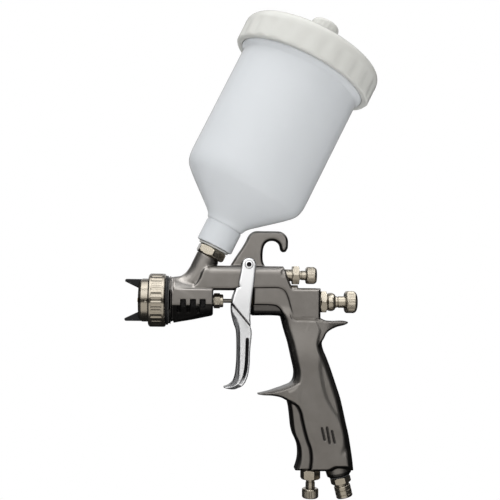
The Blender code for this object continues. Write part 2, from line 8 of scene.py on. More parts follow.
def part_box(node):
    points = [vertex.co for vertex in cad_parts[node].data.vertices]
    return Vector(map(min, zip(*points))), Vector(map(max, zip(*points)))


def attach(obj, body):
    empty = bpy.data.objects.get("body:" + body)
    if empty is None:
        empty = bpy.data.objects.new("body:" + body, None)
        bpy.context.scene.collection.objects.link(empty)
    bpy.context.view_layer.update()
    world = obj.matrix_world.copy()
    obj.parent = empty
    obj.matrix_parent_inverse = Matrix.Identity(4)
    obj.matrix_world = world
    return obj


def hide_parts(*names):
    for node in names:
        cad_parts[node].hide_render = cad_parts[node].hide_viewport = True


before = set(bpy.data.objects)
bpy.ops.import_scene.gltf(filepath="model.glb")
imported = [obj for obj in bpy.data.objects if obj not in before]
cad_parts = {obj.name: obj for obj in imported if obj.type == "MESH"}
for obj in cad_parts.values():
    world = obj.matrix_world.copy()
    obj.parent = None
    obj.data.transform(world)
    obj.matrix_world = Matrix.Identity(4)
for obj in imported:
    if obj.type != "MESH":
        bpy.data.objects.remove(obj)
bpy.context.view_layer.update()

# ------------------------------------------------------------------ the gun's own frame, in millimetres
# The spray axis is X with the fluid tip at X = 0. The frame's needle starts at X = 1.2 on that axis.
needle_low, needle_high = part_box("fluid_needle")
SHIFT = np.array([needle_low[0] * 1000 - 1.2, 0.0, (needle_low[2] + needle_high[2]) * 500])
CUP_TILT = math.radians(26)
INLET_TILT = math.radians(14)
PIVOT = (81.4, 26.3)


def rowed(points):
    """Gun-frame millimetres to row-frame metres."""
    return (np.asarray(points, float) + SHIFT) / 1000


# ------------------------------------------------------------------ materials
def add(tree, kind, values=None, **props):
    node = tree.nodes.new(kind)
    for key, value in props.items():
        setattr(node, key, value)
    for key, value in (values or {}).items():
        if isinstance(value, bpy.types.NodeSocket):
            tree.links.new(value, node.inputs[key])
        else:
            node.inputs[key].default_value = value
    return node


def math_node(tree, how, a, b=0.0, c=0.0, clamp=False):
    return add(tree, "ShaderNodeMath", {0: a, 1: b, 2: c}, operation=how, use_clamp=clamp).outputs[0]


def ramp(tree, factor, stops):
    node = add(tree, "ShaderNodeValToRGB", {"Fac": factor})
    marks = node.color_ramp.elements
    while len(marks) < len(stops):
        marks.new(0.5)
    for mark, (at, value) in zip(marks, stops):
        mark.position = at
        mark.color = (value, value, value, 1) if isinstance(value, (int, float)) else (*value, 1)
    return node.outputs[0]


def blank(name):
    made = bpy.data.materials.new(name)
    made.use_nodes = True
    tree = made.node_tree
    tree.nodes.clear()
    end = add(tree, "ShaderNodeOutputMaterial")
    body = add(tree, "ShaderNodeBsdfPrincipled")
    tree.links.new(body.outputs[0], end.inputs[0])
    return made, tree, body


def mixed(tree, factor, a, b):
    node = add(tree, "ShaderNodeMix", data_type="RGBA")
    for at, value in ((0, factor), (6, a), (7, b)):
        if isinstance(value, bpy.types.NodeSocket):
            tree.links.new(value, node.inputs[at])
        elif at:
            node.inputs[at].default_value = (*value, 1)
        else:
            node.inputs[at].default_value = value
    return node.outputs[2]


def noise(tree, vector, scale, detail=3.0, rough=0.5):
    return add(
        tree, "ShaderNodeTexNoise", {"Vector": vector, "Scale": scale, "Detail": detail, "Roughness": rough}
    ).outputs["Fac"]


def scaled(tree, vector, by):
    return add(tree, "ShaderNodeMapping", {"Vector": vector, "Scale": by}).outputs[0]


def here(tree):
    return add(tree, "ShaderNodeTexCoord").outputs["Object"]


def bump(tree, height, distance, strength, normal=None):
    values = {"Height": height, "Distance": distance, "Strength": strength}
    if normal is not None:
        values["Normal"] = normal
    return add(tree, "ShaderNodeBump", values).outputs[0]


def feed(tree, body, **sockets):
    for key, value in sockets.items():
        key = key.replace("_", " ")
        if isinstance(value, bpy.types.NodeSocket):
            tree.links.new(value, body.inputs[key])
        elif key.endswith("Color") or key.endswith("Tint"):
            body.inputs[key].default_value = (*value, 1)
        else:
            body.inputs[key].default_value = value


def cast_metal(name, dark, light, rough=0.36):
    """Satin anodised casting: fine blasted grain, slow tone drift, lighter rubbed edges; painted shade in the concave
    corners, on faces turned away from the view and near black on the marked vertices; a painted highlight on upward
    faces high on the piece.
    """
    made, tree, body = blank(name)
    at = here(tree)
    grain = noise(tree, at, 2600, 2, 0.6)
    drift = noise(tree, at, 55, 4, 0.55)
    specks = noise(tree, at, 900, 3, 0.6)
    tone = mixed(tree, ramp(tree, drift, [(0.3, 0.0), (0.7, 1.0)]), dark, light)
    worn = ramp(tree, add(tree, "ShaderNodeNewGeometry").outputs["Pointiness"], [(0.52, 0.0), (0.62, 1.0)])
    worn = math_node(tree, "MULTIPLY", worn, math_node(tree, "MULTIPLY", specks, 0.55))
    # painted shade: darker in the concave corners, where shade falls
    concave_shade = ramp(tree, add(tree, "ShaderNodeNewGeometry").outputs["Pointiness"], [(0.40, 1.0), (0.49, 0.0)])
    tone = mixed(tree, worn, tone, tuple(min(1, c * 2.1) for c in light))
    tone = mixed(tree, math_node(tree, "MULTIPLY", concave_shade, 0.6), tone, tuple(c * 0.35 for c in dark))
    # painted shade: faces turned away from the view go nearly black, less so when they face upward
    facing = add(tree, "ShaderNodeLayerWeight", {"Blend": 0.5}).outputs["Facing"]
    upward = add(tree, "ShaderNodeSeparateXYZ", {0: add(tree, "ShaderNodeNewGeometry").outputs["Normal"]}).outputs[2]
    lift = math_node(tree, "MULTIPLY", math_node(tree, "MULTIPLY", upward, 1.5, clamp=True), 0.42)
    away_shade = math_node(tree, "SUBTRACT", facing, lift)
    tone = mixed(tree, ramp(tree, away_shade, [(0.10, 0.0), (0.36, 0.88), (0.60, 1.0)]), tone, tuple(c * 0.05 for c in dark))
    # painted highlight: upward faces high on the piece are lightened
    top_highlight = ramp(tree, upward, [(0.18, 0.0), (0.42, 1.0), (0.72, 1.0), (0.92, 0.0)])
    level_z = add(tree, "ShaderNodeSeparateXYZ", {0: at}).outputs[2]
    top_highlight = math_node(tree, "MULTIPLY", top_highlight, ramp(tree, level_z, [(0.143, 0.0), (0.152, 1.0)]))
    tone = mixed(tree, math_node(tree, "MULTIPLY", top_highlight, 0.38), tone, tuple(min(1, c * 2.6) for c in light))
    # painted shade: near black on the vertices the mesh marks
    painted_shade = add(tree, "ShaderNodeAttribute", attribute_name="painted_shade").outputs["Fac"]
    shade_patch = math_node(tree, "MULTIPLY", painted_shade, ramp(tree, specks, [(0.2, 0.88), (0.6, 1.0)]), clamp=True)
    tone = mixed(tree, shade_patch, tone, (0.006, 0.006, 0.0065))
    level = math_node(tree, "MULTIPLY_ADD", specks, 0.16, rough - 0.08)
    normal = bump(tree, grain, 0.00005, 0.35)
    normal = bump(tree, specks, 0.00010, 0.10, normal)
    feed(tree, body, Base_Color=tone, Metallic=0.92, Roughness=level, Normal=normal)
    return made


def turned_metal(name, dark, light, rough=0.2, marks=0.25, horizon=0.0):
    """Plated turned metal: fine lathe marks round the axis, soft stains, tiny scratches; painted shade, brown-black, at
    the grazing edges and in the concave corners, and on request a painted reflection of a dark horizon band.
    """
    made, tree, body = blank(name)
    turn = add(tree, "ShaderNodeAttribute", attribute_name="turn").outputs["Vector"]
    split = add(tree, "ShaderNodeSeparateXYZ", {0: turn})
    radius = math_node(
        tree, "SQRT",
        math_node(tree, "ADD", math_node(tree, "POWER", split.outputs[0], 2.0), math_node(tree, "POWER", split.outputs[1], 2.0)),
    )
    line = math_node(tree, "ADD", radius, split.outputs[2])
    rings = add(tree, "ShaderNodeTexNoise", {"W": line, "Scale": 7.0, "Detail": 3.0}, noise_dimensions="1D").outputs["Fac"]
    at = here(tree)
    stain = noise(tree, at, 90, 4, 0.55)
    scratch = noise(tree, scaled(tree, at, (3000, 240, 900)), 1.0, 2, 0.5)
    tone = mixed(tree, ramp(tree, stain, [(0.30, 0.0), (0.70, 1.0)]), dark, light)
    # painted shade: brown-black at the grazing edges
    facing = add(tree, "ShaderNodeLayerWeight", {"Blend": 0.5}).outputs["Facing"]
    edge = ramp(tree, facing, [(0.26, 0.0), (0.56, 0.45), (0.88, 0.92)])
    tone = mixed(tree, edge, tone, (0.075, 0.058, 0.040))
    # painted reflection: a dark horizon band and lighter bands, by the height of the normal
    if horizon:
        upward = add(tree, "ShaderNodeSeparateXYZ", {0: add(tree, "ShaderNodeNewGeometry").outputs["Normal"]}).outputs[2]
        height = math_node(tree, "MULTIPLY_ADD", upward, 0.5, 0.5)
        reflection_band = ramp(tree, height, [(0.0, 0.6), (0.28, 0.12), (0.43, 0.10), (0.462, 0.92), (0.515, 1.0), (0.55, 0.5), (0.60, 0.22), (0.76, 0.22), (0.84, 0.5), (1.0, 0.8)])
        tone = mixed(tree, math_node(tree, "MULTIPLY", reflection_band, horizon), tone, (0.05, 0.043, 0.034))
    # painted shade in the concave corners
    corner = ramp(tree, add(tree, "ShaderNodeNewGeometry").outputs["Pointiness"], [(0.38, 1.0), (0.48, 0.0)])
    tone = mixed(tree, math_node(tree, "MULTIPLY", corner, 0.7), tone, tuple(c * 0.2 for c in dark))
    level = math_node(tree, "MULTIPLY_ADD", stain, 0.14, rough - 0.07)
    level = math_node(tree, "MULTIPLY_ADD", scratch, 0.06, level)
    normal = bump(tree, rings, 0.00005, marks)
    normal = bump(tree, scratch, 0.00003, 0.10, normal)
    feed(tree, body, Base_Color=tone, Metallic=1.0, Roughness=level, Normal=normal)
    return made


def polished(name, tone_a, tone_b):
    """Bright plated sheet: long soft polishing lines, faint orange peel; painted shade darkens its grazing edges, its
    concave corners and the marked vertices.
    """
    made, tree, body = blank(name)
    at = here(tree)
    lines = noise(tree, scaled(tree, at, (900, 500, 60)), 1.0, 3, 0.5)
    peel = noise(tree, at, 170, 2, 0.4)
    smear = noise(tree, at, 60, 4, 0.6)
    tone = mixed(tree, smear, tone_a, tone_b)
    # painted shade: grazing edges darkened nearly to black
    facing = add(tree, "ShaderNodeLayerWeight", {"Blend": 0.5}).outputs["Facing"]
    tone = mixed(tree, ramp(tree, facing, [(0.16, 0.0), (0.44, 0.8), (0.75, 1.0)]), tone, (0.02, 0.02, 0.023))
    # painted shade in the concave corners
    corner = ramp(tree, add(tree, "ShaderNodeNewGeometry").outputs["Pointiness"], [(0.36, 1.0), (0.48, 0.0)])
    tone = mixed(tree, math_node(tree, "MULTIPLY", corner, 0.75), tone, (0.03, 0.03, 0.035))
    # painted shade: near black on the vertices the mesh marks
    painted_shade = add(tree, "ShaderNodeAttribute", attribute_name="painted_shade").outputs["Fac"]
    tone = mixed(tree, math_node(tree, "MULTIPLY", painted_shade, 1.0, clamp=True), tone, (0.008, 0.008, 0.009))
    level = math_node(tree, "MULTIPLY_ADD", smear, 0.16, 0.17)
    normal = bump(tree, lines, 0.00004, 0.10)
    normal = bump(tree, peel, 0.0002, 0.10, normal)
    feed(tree, body, Base_Color=tone, Metallic=0.72, Roughness=level, Normal=normal)
    return made


def black_finish(name, tone=(0.006, 0.006, 0.0065), rough=0.42):
    made, tree, body = blank(name)
    at = here(tree)
    grain = noise(tree, at, 2400, 2, 0.6)
    drift = noise(tree, at, 150, 4, 0.6)
    worn = ramp(tree, add(tree, "ShaderNodeNewGeometry").outputs["Pointiness"], [(0.54, 0.0), (0.66, 1.0)])
    worn = math_node(tree, "MULTIPLY", worn, math_node(tree, "MULTIPLY", drift, 0.6))
    colour = mixed(tree, drift, tone, tuple(c * 2.4 for c in tone))
    colour = mixed(tree, worn, colour, (0.16, 0.155, 0.15))
    feed(
        tree, body, Base_Color=colour, Metallic=0.55, Roughness=math_node(tree, "MULTIPLY_ADD", drift, 0.2, rough - 0.1),
        Normal=bump(tree, grain, 0.00005, 0.3),
    )
    return made


def moulded(name, face, edge, rough=0.34, inner=0.0, flow=0.04):
    """Milky moulded plastic: painted shade darkens it at the grazing edges; faint flow lines, dust-fine pitting and
    scuffs.
    """
    made, tree, body = blank(name)
    at = here(tree)
    turn = add(tree, "ShaderNodeAttribute", attribute_name="turn").outputs["Vector"]
    split = add(tree, "ShaderNodeSeparateXYZ", {0: turn})
    cloud = noise(tree, at, 26, 4, 0.6)
    pit = noise(tree, at, 1500, 2, 0.5)
    scuff = noise(tree, scaled(tree, at, (260, 260, 900)), 1.0, 5, 0.7)
    rings = add(tree, "ShaderNodeTexNoise", {"W": split.outputs[2], "Scale": 0.9, "Detail": 4.0}, noise_dimensions="1D").outputs["Fac"]
    # painted shade: darker towards the grazing edges
    facing = add(tree, "ShaderNodeLayerWeight", {"Blend": 0.5}).outputs["Facing"]
    rim = ramp(tree, facing, [(0.55, 0.0), (0.82, 0.22), (0.94, 1.0)])
    tone = mixed(tree, rim, face, edge)
    tone = mixed(tree, math_node(tree, "MULTIPLY", cloud, 0.22), tone, tuple(c * 0.90 for c in face))
    tone = mixed(tree, math_node(tree, "MULTIPLY", rings, flow), tone, tuple(c * 0.72 for c in face))
    level = math_node(tree, "MULTIPLY_ADD", scuff, 0.28, rough - 0.12)
    normal = bump(tree, pit, 0.00004, 0.12)
    normal = bump(tree, cloud, 0.0012, 0.10, normal)
    feed(
        tree, body, Base_Color=tone, Metallic=0.0, Roughness=level, Normal=normal, Specular_IOR_Level=0.42,
        Subsurface_Weight=inner, Subsurface_Scale=0.004,
    )
    body.inputs["Subsurface Radius"].default_value = (1.0, 1.0, 1.0)
    return made


def soft_seal(name, tone, light):
    made, tree, body = blank(name)
    at = here(tree)
    mottle = noise(tree, at, 420, 4, 0.6)
    feed(
        tree, body, Base_Color=mixed(tree, mottle, tone, light), Metallic=0.0,
        Roughness=math_node(tree, "MULTIPLY_ADD", mottle, 0.25, 0.45), Normal=bump(tree, noise(tree, at, 1800, 2), 0.00008, 0.3),
    )
    return made


GUNMETAL = cast_metal("satin_gunmetal", (0.225, 0.210, 0.195), (0.270, 0.256, 0.240))
NICKEL = turned_metal("warm_nickel", (0.46, 0.415, 0.34), (0.59, 0.54, 0.45), 0.22, 0.2)
# this nickel copy carries a painted reflection band of a dark horizon
DULL_NICKEL = turned_metal("warm_nickel_horizon_band", (0.50, 0.45, 0.37), (0.63, 0.575, 0.485), 0.24, 0.3, 0.95)
CHROME = polished("bright_plate", (0.92, 0.925, 0.94), (0.98, 0.985, 1.0))
STEEL = turned_metal("ground_steel", (0.50, 0.50, 0.50), (0.64, 0.64, 0.64), 0.24)
ROD_STEEL = turned_metal("dark_rod_steel", (0.15, 0.14, 0.125), (0.24, 0.225, 0.20), 0.3)
DARK_BRASS = turned_metal("tarnished_brass", (0.035, 0.027, 0.016), (0.06, 0.045, 0.025), 0.4)
BRASS = turned_metal("turned_brass", (0.36, 0.25, 0.10), (0.50, 0.36, 0.17), 0.3)
BLACK = black_finish("black_anodise")
# the second colour of each plastic is its painted shade at the grazing edges
CUP_PLASTIC = moulded("milky_cup_plastic", (0.560, 0.580, 0.598), (0.15, 0.15, 0.145), 0.40, 0.25)
LID_PLASTIC = moulded("ivory_lid_plastic", (0.545, 0.545, 0.515), (0.17, 0.17, 0.155), 0.5, 0.15, 0.02)
RUBBER = soft_seal("nitrile_seal", (0.02, 0.02, 0.021), (0.05, 0.05, 0.05))
PTFE = soft_seal("ptfe_white", (0.42, 0.42, 0.40), (0.52, 0.52, 0.50))

SLOTS = {
    "gunmetal": GUNMETAL, "nickel": NICKEL, "chrome": CHROME, "steel": STEEL, "brass": BRASS,
    "black_anodised": BLACK, "cup_plastic": CUP_PLASTIC, "lid_plastic": LID_PLASTIC, "seal": RUBBER, "ptfe": PTFE,
}


# ------------------------------------------------------------------ pieces
def piece(name, points, faces, body, nodes, finish, smooth_angle=None, turn=None, painted_shade=None):
    """A closed mesh from gun-frame millimetres, riding on a body in place of CAD nodes."""
    mesh = bpy.data.meshes.new(name)
    places = rowed(points)
    if isinstance(faces, np.ndarray):
        width = faces.shape[1]
        mesh.vertices.add(len(places))
        mesh.vertices.foreach_set("co", places.astype(np.float32).ravel())
        mesh.loops.add(faces.size)
        mesh.loops.foreach_set("vertex_index", faces.astype(np.int32).ravel())
        mesh.polygons.add(len(faces))
        mesh.polygons.foreach_set("loop_start", np.arange(0, faces.size, width, dtype=np.int32))
        mesh.update(calc_edges=True)
    else:
        mesh.from_pydata(places.tolist(), [], faces)
    mesh.validate()
    if turn is not None:
        mesh.attributes.new("turn", "FLOAT_VECTOR", "POINT").data.foreach_set("vector", turn.astype(np.float32).ravel())
    if painted_shade is not None:
        mesh.attributes.new("painted_shade", "FLOAT", "POINT").data.foreach_set("value", painted_shade.astype(np.float32))
    mesh.shade_smooth()
    if smooth_angle:
        mesh.set_sharp_from_angle(angle=math.radians(smooth_angle))
    mesh.materials.append(finish)
    made = bpy.data.objects.new(name, mesh)
    bpy.context.scene.collection.objects.link(made)
    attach(made, body)
    if nodes:
        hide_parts(*nodes)
    return made


AXES = {  # foot, direction, up: all in the X-Z plane of the gun
    "spray": ((0, 0, 0), (1, 0, 0), (0, 0, 1)),
    "fan": ((0, 0, 19.3), (1, 0, 0), (0, 0, 1)),
    "cup": ((36.8, 0, 0), (math.sin(CUP_TILT), 0, math.cos(CUP_TILT)), (-math.cos(CUP_TILT), 0, math.sin(CUP_TILT))),
    "control": ((128.3, 0, 0), (0, 0, -1), (1, 0, 0)),
    "inlet": ((149.0, 0, -123.0), (math.sin(INLET_TILT), 0, -math.cos(INLET_TILT)), (math.cos(INLET_TILT), 0, math.sin(INLET_TILT))),
    "pivot": ((PIVOT[0], 0, PIVOT[1]), (0, -1, 0), (0, 0, 1)),
}


def filleted(profile, ring):
    """(radius, height[, fillet]) corners to a finer line with the fillets drawn as arcs."""
    out = []
    count = len(profile)
    for i, corner in enumerate(profile):
        r, s = corner[0], corner[1]
        size = corner[2] if len(corner) > 2 else 0
        ends = not ring and i in (0, count - 1)
        if not size or ends:
            out.append((r, s))
            continue
        p = np.array((r, s), float)
        a = np.array(profile[i - 1][:2], float) - p
        b = np.array(profile[(i + 1) % count][:2], float) - p
        la, lb = np.linalg.norm(a), np.linalg.norm(b)
        size = min(size, la * 0.49, lb * 0.49)
        a, b = p + a / la * size, p + b / lb * size
        steps = 2 if size < 0.35 else 4
        for k in range(steps + 1):
            t = k / steps
            q = (1 - t) ** 2 * a + 2 * t * (1 - t) * p + t * t * b
            out.append((q[0], q[1]))
    return out


def split_long(line, ring, most):
    """Adds points so no step along the line is longer than most."""
    out = []
    count = len(line)
    for i in range(count if ring else count - 1):
        a, b = np.array(line[i]), np.array(line[(i + 1) % count])
        steps = max(1, int(math.ceil(np.linalg.norm(b - a) / most)))
        for k in range(steps):
            out.append(tuple(a + (b - a) * k / steps))
    if not ring:
        out.append(line[-1])
    return out


def turned(name, axis, profile, body, nodes, finish, columns=96, shape=None, most=None, angle=32, phase=0.0, painted_shade=None):
    """A turned piece. shape(r, s, angle) bends the radius, for hexagons, flutes and knurls."""
    ring = profile[0][0] > 0
    line = filleted(profile, ring)
    if most:
        line = split_long(line, ring, most)
    foot, way, up = (np.array(v, float) for v in AXES[axis])
    side = np.cross(way, up)
    radii = np.array([p[0] for p in line])
    heights = np.array([p[1] for p in line])
    angles = np.arange(columns) * 2 * math.pi / columns + phase
    r = np.repeat(radii[:, None], columns, 1)
    s = np.repeat(heights[:, None], columns, 1)
    a = np.repeat(angles[None, :], len(line), 0)
    if shape:
        r = shape(r, s, a)
    places = (
        foot + s[..., None] * way + r[..., None] * (np.cos(a)[..., None] * up + np.sin(a)[..., None] * side)
    )
    local = np.stack([r * np.cos(a), r * np.sin(a), s], -1)
    points, turn, rows = [], [], []
    for i in range(len(line)):
        if radii[i] == 0:
            rows.append([len(points)] * columns)
            points.append(places[i, 0])
            turn.append(local[i, 0])
        else:
            rows.append(list(range(len(points), len(points) + columns)))
            points.extend(places[i])
            turn.extend(local[i])
    faces = []
    for i in range(len(line) if ring else len(line) - 1):
        low, high = rows[i], rows[(i + 1) % len(line)]
        for j in range(columns):
            k = (j + 1) % columns
            face = [low[j], low[k], high[k], high[j]]
            lean = []
            for v in face:
                if v not in lean:
                    lean.append(v)
            if len(lean) > 2:
                faces.append(lean)
    points = np.array(points)
    volume = 0.0
    for face in faces:
        p0 = points[face[0]]
        for k in range(1, len(face) - 1):
            volume += float(np.dot(p0, np.cross(points[face[k]], points[face[k + 1]])))
    if volume < 0:
        faces = [f[::-1] for f in faces]
    turn = np.array(turn)
    shade_patch = None if painted_shade is None else painted_shade(np.hypot(turn[:, 0], turn[:, 1]), turn[:, 2]).astype(float)
    return piece(name, points, faces, body, nodes, finish, angle, turn, shade_patch)


def hexed(across, low, high, turn=0.0):
    """Trims the radius to a hexagon between two heights."""
    def shape(r, s, a):
        flat = across / 2 * math.cos(math.pi / 6)
        near = (a - turn) % (math.pi / 3) - math.pi / 6
        inside = (s >= low - 0.01) & (s <= high + 0.01)
        return np.where(inside, np.minimum(r, flat / np.cos(near)), r)
    return shape


def knurled(teeth, depth, low, high, least=3.0, ramp_length=0.5):
    """Straight knurl between two heights on the outside of a piece."""
    def shape(r, s, a):
        fade = np.clip((s - low) / ramp_length, 0, 1) * np.clip((high - s) / ramp_length, 0, 1)
        wave = np.abs(((a * teeth / (2 * math.pi)) % 1) - 0.5) * 2
        return np.where(r > least, r - depth * fade * (1 - wave), r)
    return shape


def together(*shapes):
    def shape(r, s, a):
        for each in shapes:
            r = each(r, s, a)
        return r
    return shape


# ------------------------------------------------------------------ fields for the two cast or folded shapes
def smoothed(points, per=4):
    """A closed Catmull-Rom line. A point with a third value stays a corner."""
    count = len(points)
    out = []
    for i in range(count):
        p1, p2 = points[i], points[(i + 1) % count]
        p0, p3 = points[i - 1], points[(i + 2) % count]
        a, b = np.array(p1[:2], float), np.array(p2[:2], float)
        before = np.array(p0[:2], float) if len(p1) == 2 else 2 * a - b
        after = np.array(p3[:2], float) if len(p2) == 2 else 2 * b - a
        steps = per if np.linalg.norm(b - a) > 1.2 else 1
        for k in range(steps):
            t = k / steps
            out.append(
                tuple(
                    0.5 * (2 * a + (b - before) * t + (2 * before - 5 * a + 4 * b - after) * t * t
                           + (3 * a - before - 3 * b + after) * t ** 3)
                )
            )
    return out


def open_curve(points, per=5):
    """An open Catmull-Rom line."""
    p = [np.array(q, float) for q in points]
    p = [2 * p[0] - p[1]] + p + [2 * p[-1] - p[-2]]
    out = []
    for i in range(1, len(p) - 2):
        a, b, c, d = p[i - 1], p[i], p[i + 1], p[i + 2]
        for k in range(per):
            t = k / per
            out.append(tuple(0.5 * (2 * b + (c - a) * t + (2 * a - 5 * b + 4 * c - d) * t * t + (3 * b - a - 3 * c + d) * t ** 3)))
    out.append(tuple(p[-2]))
    return out


def smin(a, b, k):
    h = np.maximum(k - np.abs(a - b), 0) / k
    return np.minimum(a, b) - h * h * k * 0.25


def smax(a, b, k):
    return -smin(-a, -b, k)


class Field:
    """Signed distances on a grid over the half-space Y > 0, mirrored when meshed."""

    def __init__(self, x, y, z, step):
        self.step = step
        self.x = np.arange(x[0], x[1] + step, step, dtype=np.float32)
        self.y = ((np.arange(int(y / step) + 1) + 0.5) * step).astype(np.float32)
        self.z = np.arange(z[0], z[1] + step, step, dtype=np.float32)
        self.X = self.x[:, None, None]
        self.Y = self.y[None, :, None]
        self.Z = self.z[None, None, :]
        self.px, self.pz = np.meshgrid(self.x, self.z, indexing="ij")

    def outline(self, points):
        d = np.full(self.px.shape, 1e9, np.float32)
        sign = np.ones(self.px.shape, np.float32)
        for i in range(len(points)):
            (ax, az), (bx, bz) = points[i][:2], points[i - 1][:2]
            ex, ez = bx - ax, bz - az
            wx, wz = self.px - ax, self.pz - az
            t = np.clip((wx * ex + wz * ez) / max(ex * ex + ez * ez, 1e-9), 0, 1)
            d = np.minimum(d, (wx - ex * t) ** 2 + (wz - ez * t) ** 2)
            c1, c2, c3 = self.pz >= az, self.pz < bz, ex * wz > ez * wx
            sign = np.where((c1 & c2 & c3) | (~c1 & ~c2 & ~c3), -sign, sign)
        return (sign * np.sqrt(d))[:, None, :]

    def along(self, points):
        """Distance in X-Z to an open line."""
        d = np.full(self.px.shape, 1e9, np.float32)
        for (ax, az), (bx, bz) in zip(points, points[1:]):
            ex, ez = bx - ax, bz - az
            wx, wz = self.px - ax, self.pz - az
            t = np.clip((wx * ex + wz * ez) / max(ex * ex + ez * ez, 1e-9), 0, 1)
            d = np.minimum(d, (wx - ex * t) ** 2 + (wz - ez * t) ** 2)
        return np.sqrt(d)[:, None, :]

    def slab(self, flat, half, soft):
        a, b = flat + soft, self.Y - half + soft
        return np.minimum(np.maximum(a, b), 0) + np.hypot(np.maximum(a, 0), np.maximum(b, 0)) - soft

    def bevelled(self, flat, half, wide, deep, k=0.5):
        """A slab whose edge falls away: wide across its face and deep down its side."""
        u, v = flat, self.Y - half
        slope = ((u + wide) / wide + v / deep) / np.sqrt(1 / wide ** 2 + 1 / deep ** 2)
        return smax(smax(u, v, k), slope, k)

    def round_bar(self, foot, way, stations, radii, ends=True):
        """A turned bar in the X-Z plane with a radius that changes along it."""
        dx, dz = way
        s = (self.X - foot[0]) * dx + (self.Z - foot[1]) * dz
        t = -(self.X - foot[0]) * dz + (self.Z - foot[1]) * dx
        r = np.interp(s, stations, radii).astype(np.float32)
        d = np.hypot(t, self.Y) - r
        if ends:
            d = np.maximum(d, np.maximum(stations[0] - s, s - stations[-1]))
        return d

    def pin(self, at, r, reach):
        return np.maximum(np.hypot(self.X - at[0], self.Z - at[1]) - r, self.Y - reach)

    def mesh(self, field):
        """Surface nets over the mirrored field, then two steps onto the zero level."""
        v = np.concatenate([field[:, ::-1, :], field], axis=1).astype(np.float32)
        nx, ny, nz = v.shape
        origin = np.array([self.x[0], -self.y[-1], self.z[0]], np.float32)
        inside = v < 0
        total = np.zeros((nx - 1, ny - 1, nz - 1), np.int8)
        corners = [(i, j, k) for i in (0, 1) for j in (0, 1) for k in (0, 1)]
        for i, j, k in corners:
            total += inside[i:nx - 1 + i, j:ny - 1 + j, k:nz - 1 + k]
        cells = np.argwhere((total > 0) & (total < 8))
        index = np.full((nx - 1, ny - 1, nz - 1), -1, np.int32)
        index[cells[:, 0], cells[:, 1], cells[:, 2]] = np.arange(len(cells), dtype=np.int32)
        vals = {c: v[cells[:, 0] + c[0], cells[:, 1] + c[1], cells[:, 2] + c[2]] for c in corners}
        total_at = np.zeros((len(cells), 3), np.float32)
        crossings = np.zeros(len(cells), np.float32)
        for c in corners:
            for axis in range(3):
                if c[axis]:
                    continue
                d = list(c)
                d[axis] = 1
                d = tuple(d)
                a, b = vals[c], vals[d]
                cross = (a < 0) != (b < 0)
                t = np.where(cross, a / np.where(cross, a - b, 1), 0)
                at = np.zeros((len(cells), 3), np.float32)
                at[:] = c
                at[:, axis] = t
                total_at += np.where(cross[:, None], at, 0)
                crossings += cross
        points = cells + total_at / crossings[:, None]

        def sample(p):
            q = np.clip(p, 0, np.array(v.shape) - 1.001)
            f = np.floor(q).astype(np.int32)
            w = (q - f).astype(np.float32)
            out = np.zeros(len(p), np.float32)
            for i, j, k in corners:
                weight = (w[:, 0] if i else 1 - w[:, 0]) * (w[:, 1] if j else 1 - w[:, 1]) * (w[:, 2] if k else 1 - w[:, 2])
                out += weight * v[f[:, 0] + i, f[:, 1] + j, f[:, 2] + k]
            return out

        for _ in range(2):
            g = np.stack([sample(points + e) - sample(points - e) for e in np.eye(3) * 0.6], 1) / 1.2
            size = np.maximum((g ** 2).sum(1), 1e-4)
            move = -(sample(points) / size)[:, None] * g
            length = np.linalg.norm(move, axis=1, keepdims=True)
            points = points + move * np.minimum(1, 0.35 / np.maximum(length, 1e-6))
        faces = []
        for axis in range(3):
            u, w = (axis + 1) % 3, (axis + 2) % 3
            size = [nx, ny, nz]
            low = [slice(None)] * 3
            low[axis] = slice(0, size[axis] - 1)
            high = [slice(None)] * 3
            high[axis] = slice(1, size[axis])
            change = inside[tuple(low)] != inside[tuple(high)]
            at = np.argwhere(change)
            keep = (at[:, u] > 0) & (at[:, w] > 0) & (at[:, u] < size[u] - 1) & (at[:, w] < size[w] - 1)
            at = at[keep]
            out = inside[at[:, 0], at[:, 1], at[:, 2]]

            def cell(du, dw):
                c = at.copy()
                c[:, u] -= du
                c[:, w] -= dw
                return index[c[:, 0], c[:, 1], c[:, 2]]

            quad = np.stack([cell(0, 0), cell(1, 0), cell(1, 1), cell(0, 1)], 1)
            quad = np.where(out[:, None], quad, quad[:, ::-1])
            faces.append(quad)
        faces = np.concatenate(faces)
        return origin + points * self.step, faces


def smooth_step(t):
    t = np.clip(t, 0, 1)
    return t * t * (3 - 2 * t)


def arc(cx, cz, r, first, last, count):
    return [
        (cx + r * math.cos(math.radians(first + (last - first) * i / (count - 1))),
         cz + r * math.sin(math.radians(first + (last - first) * i / (count - 1))))
        for i in range(count)
    ]


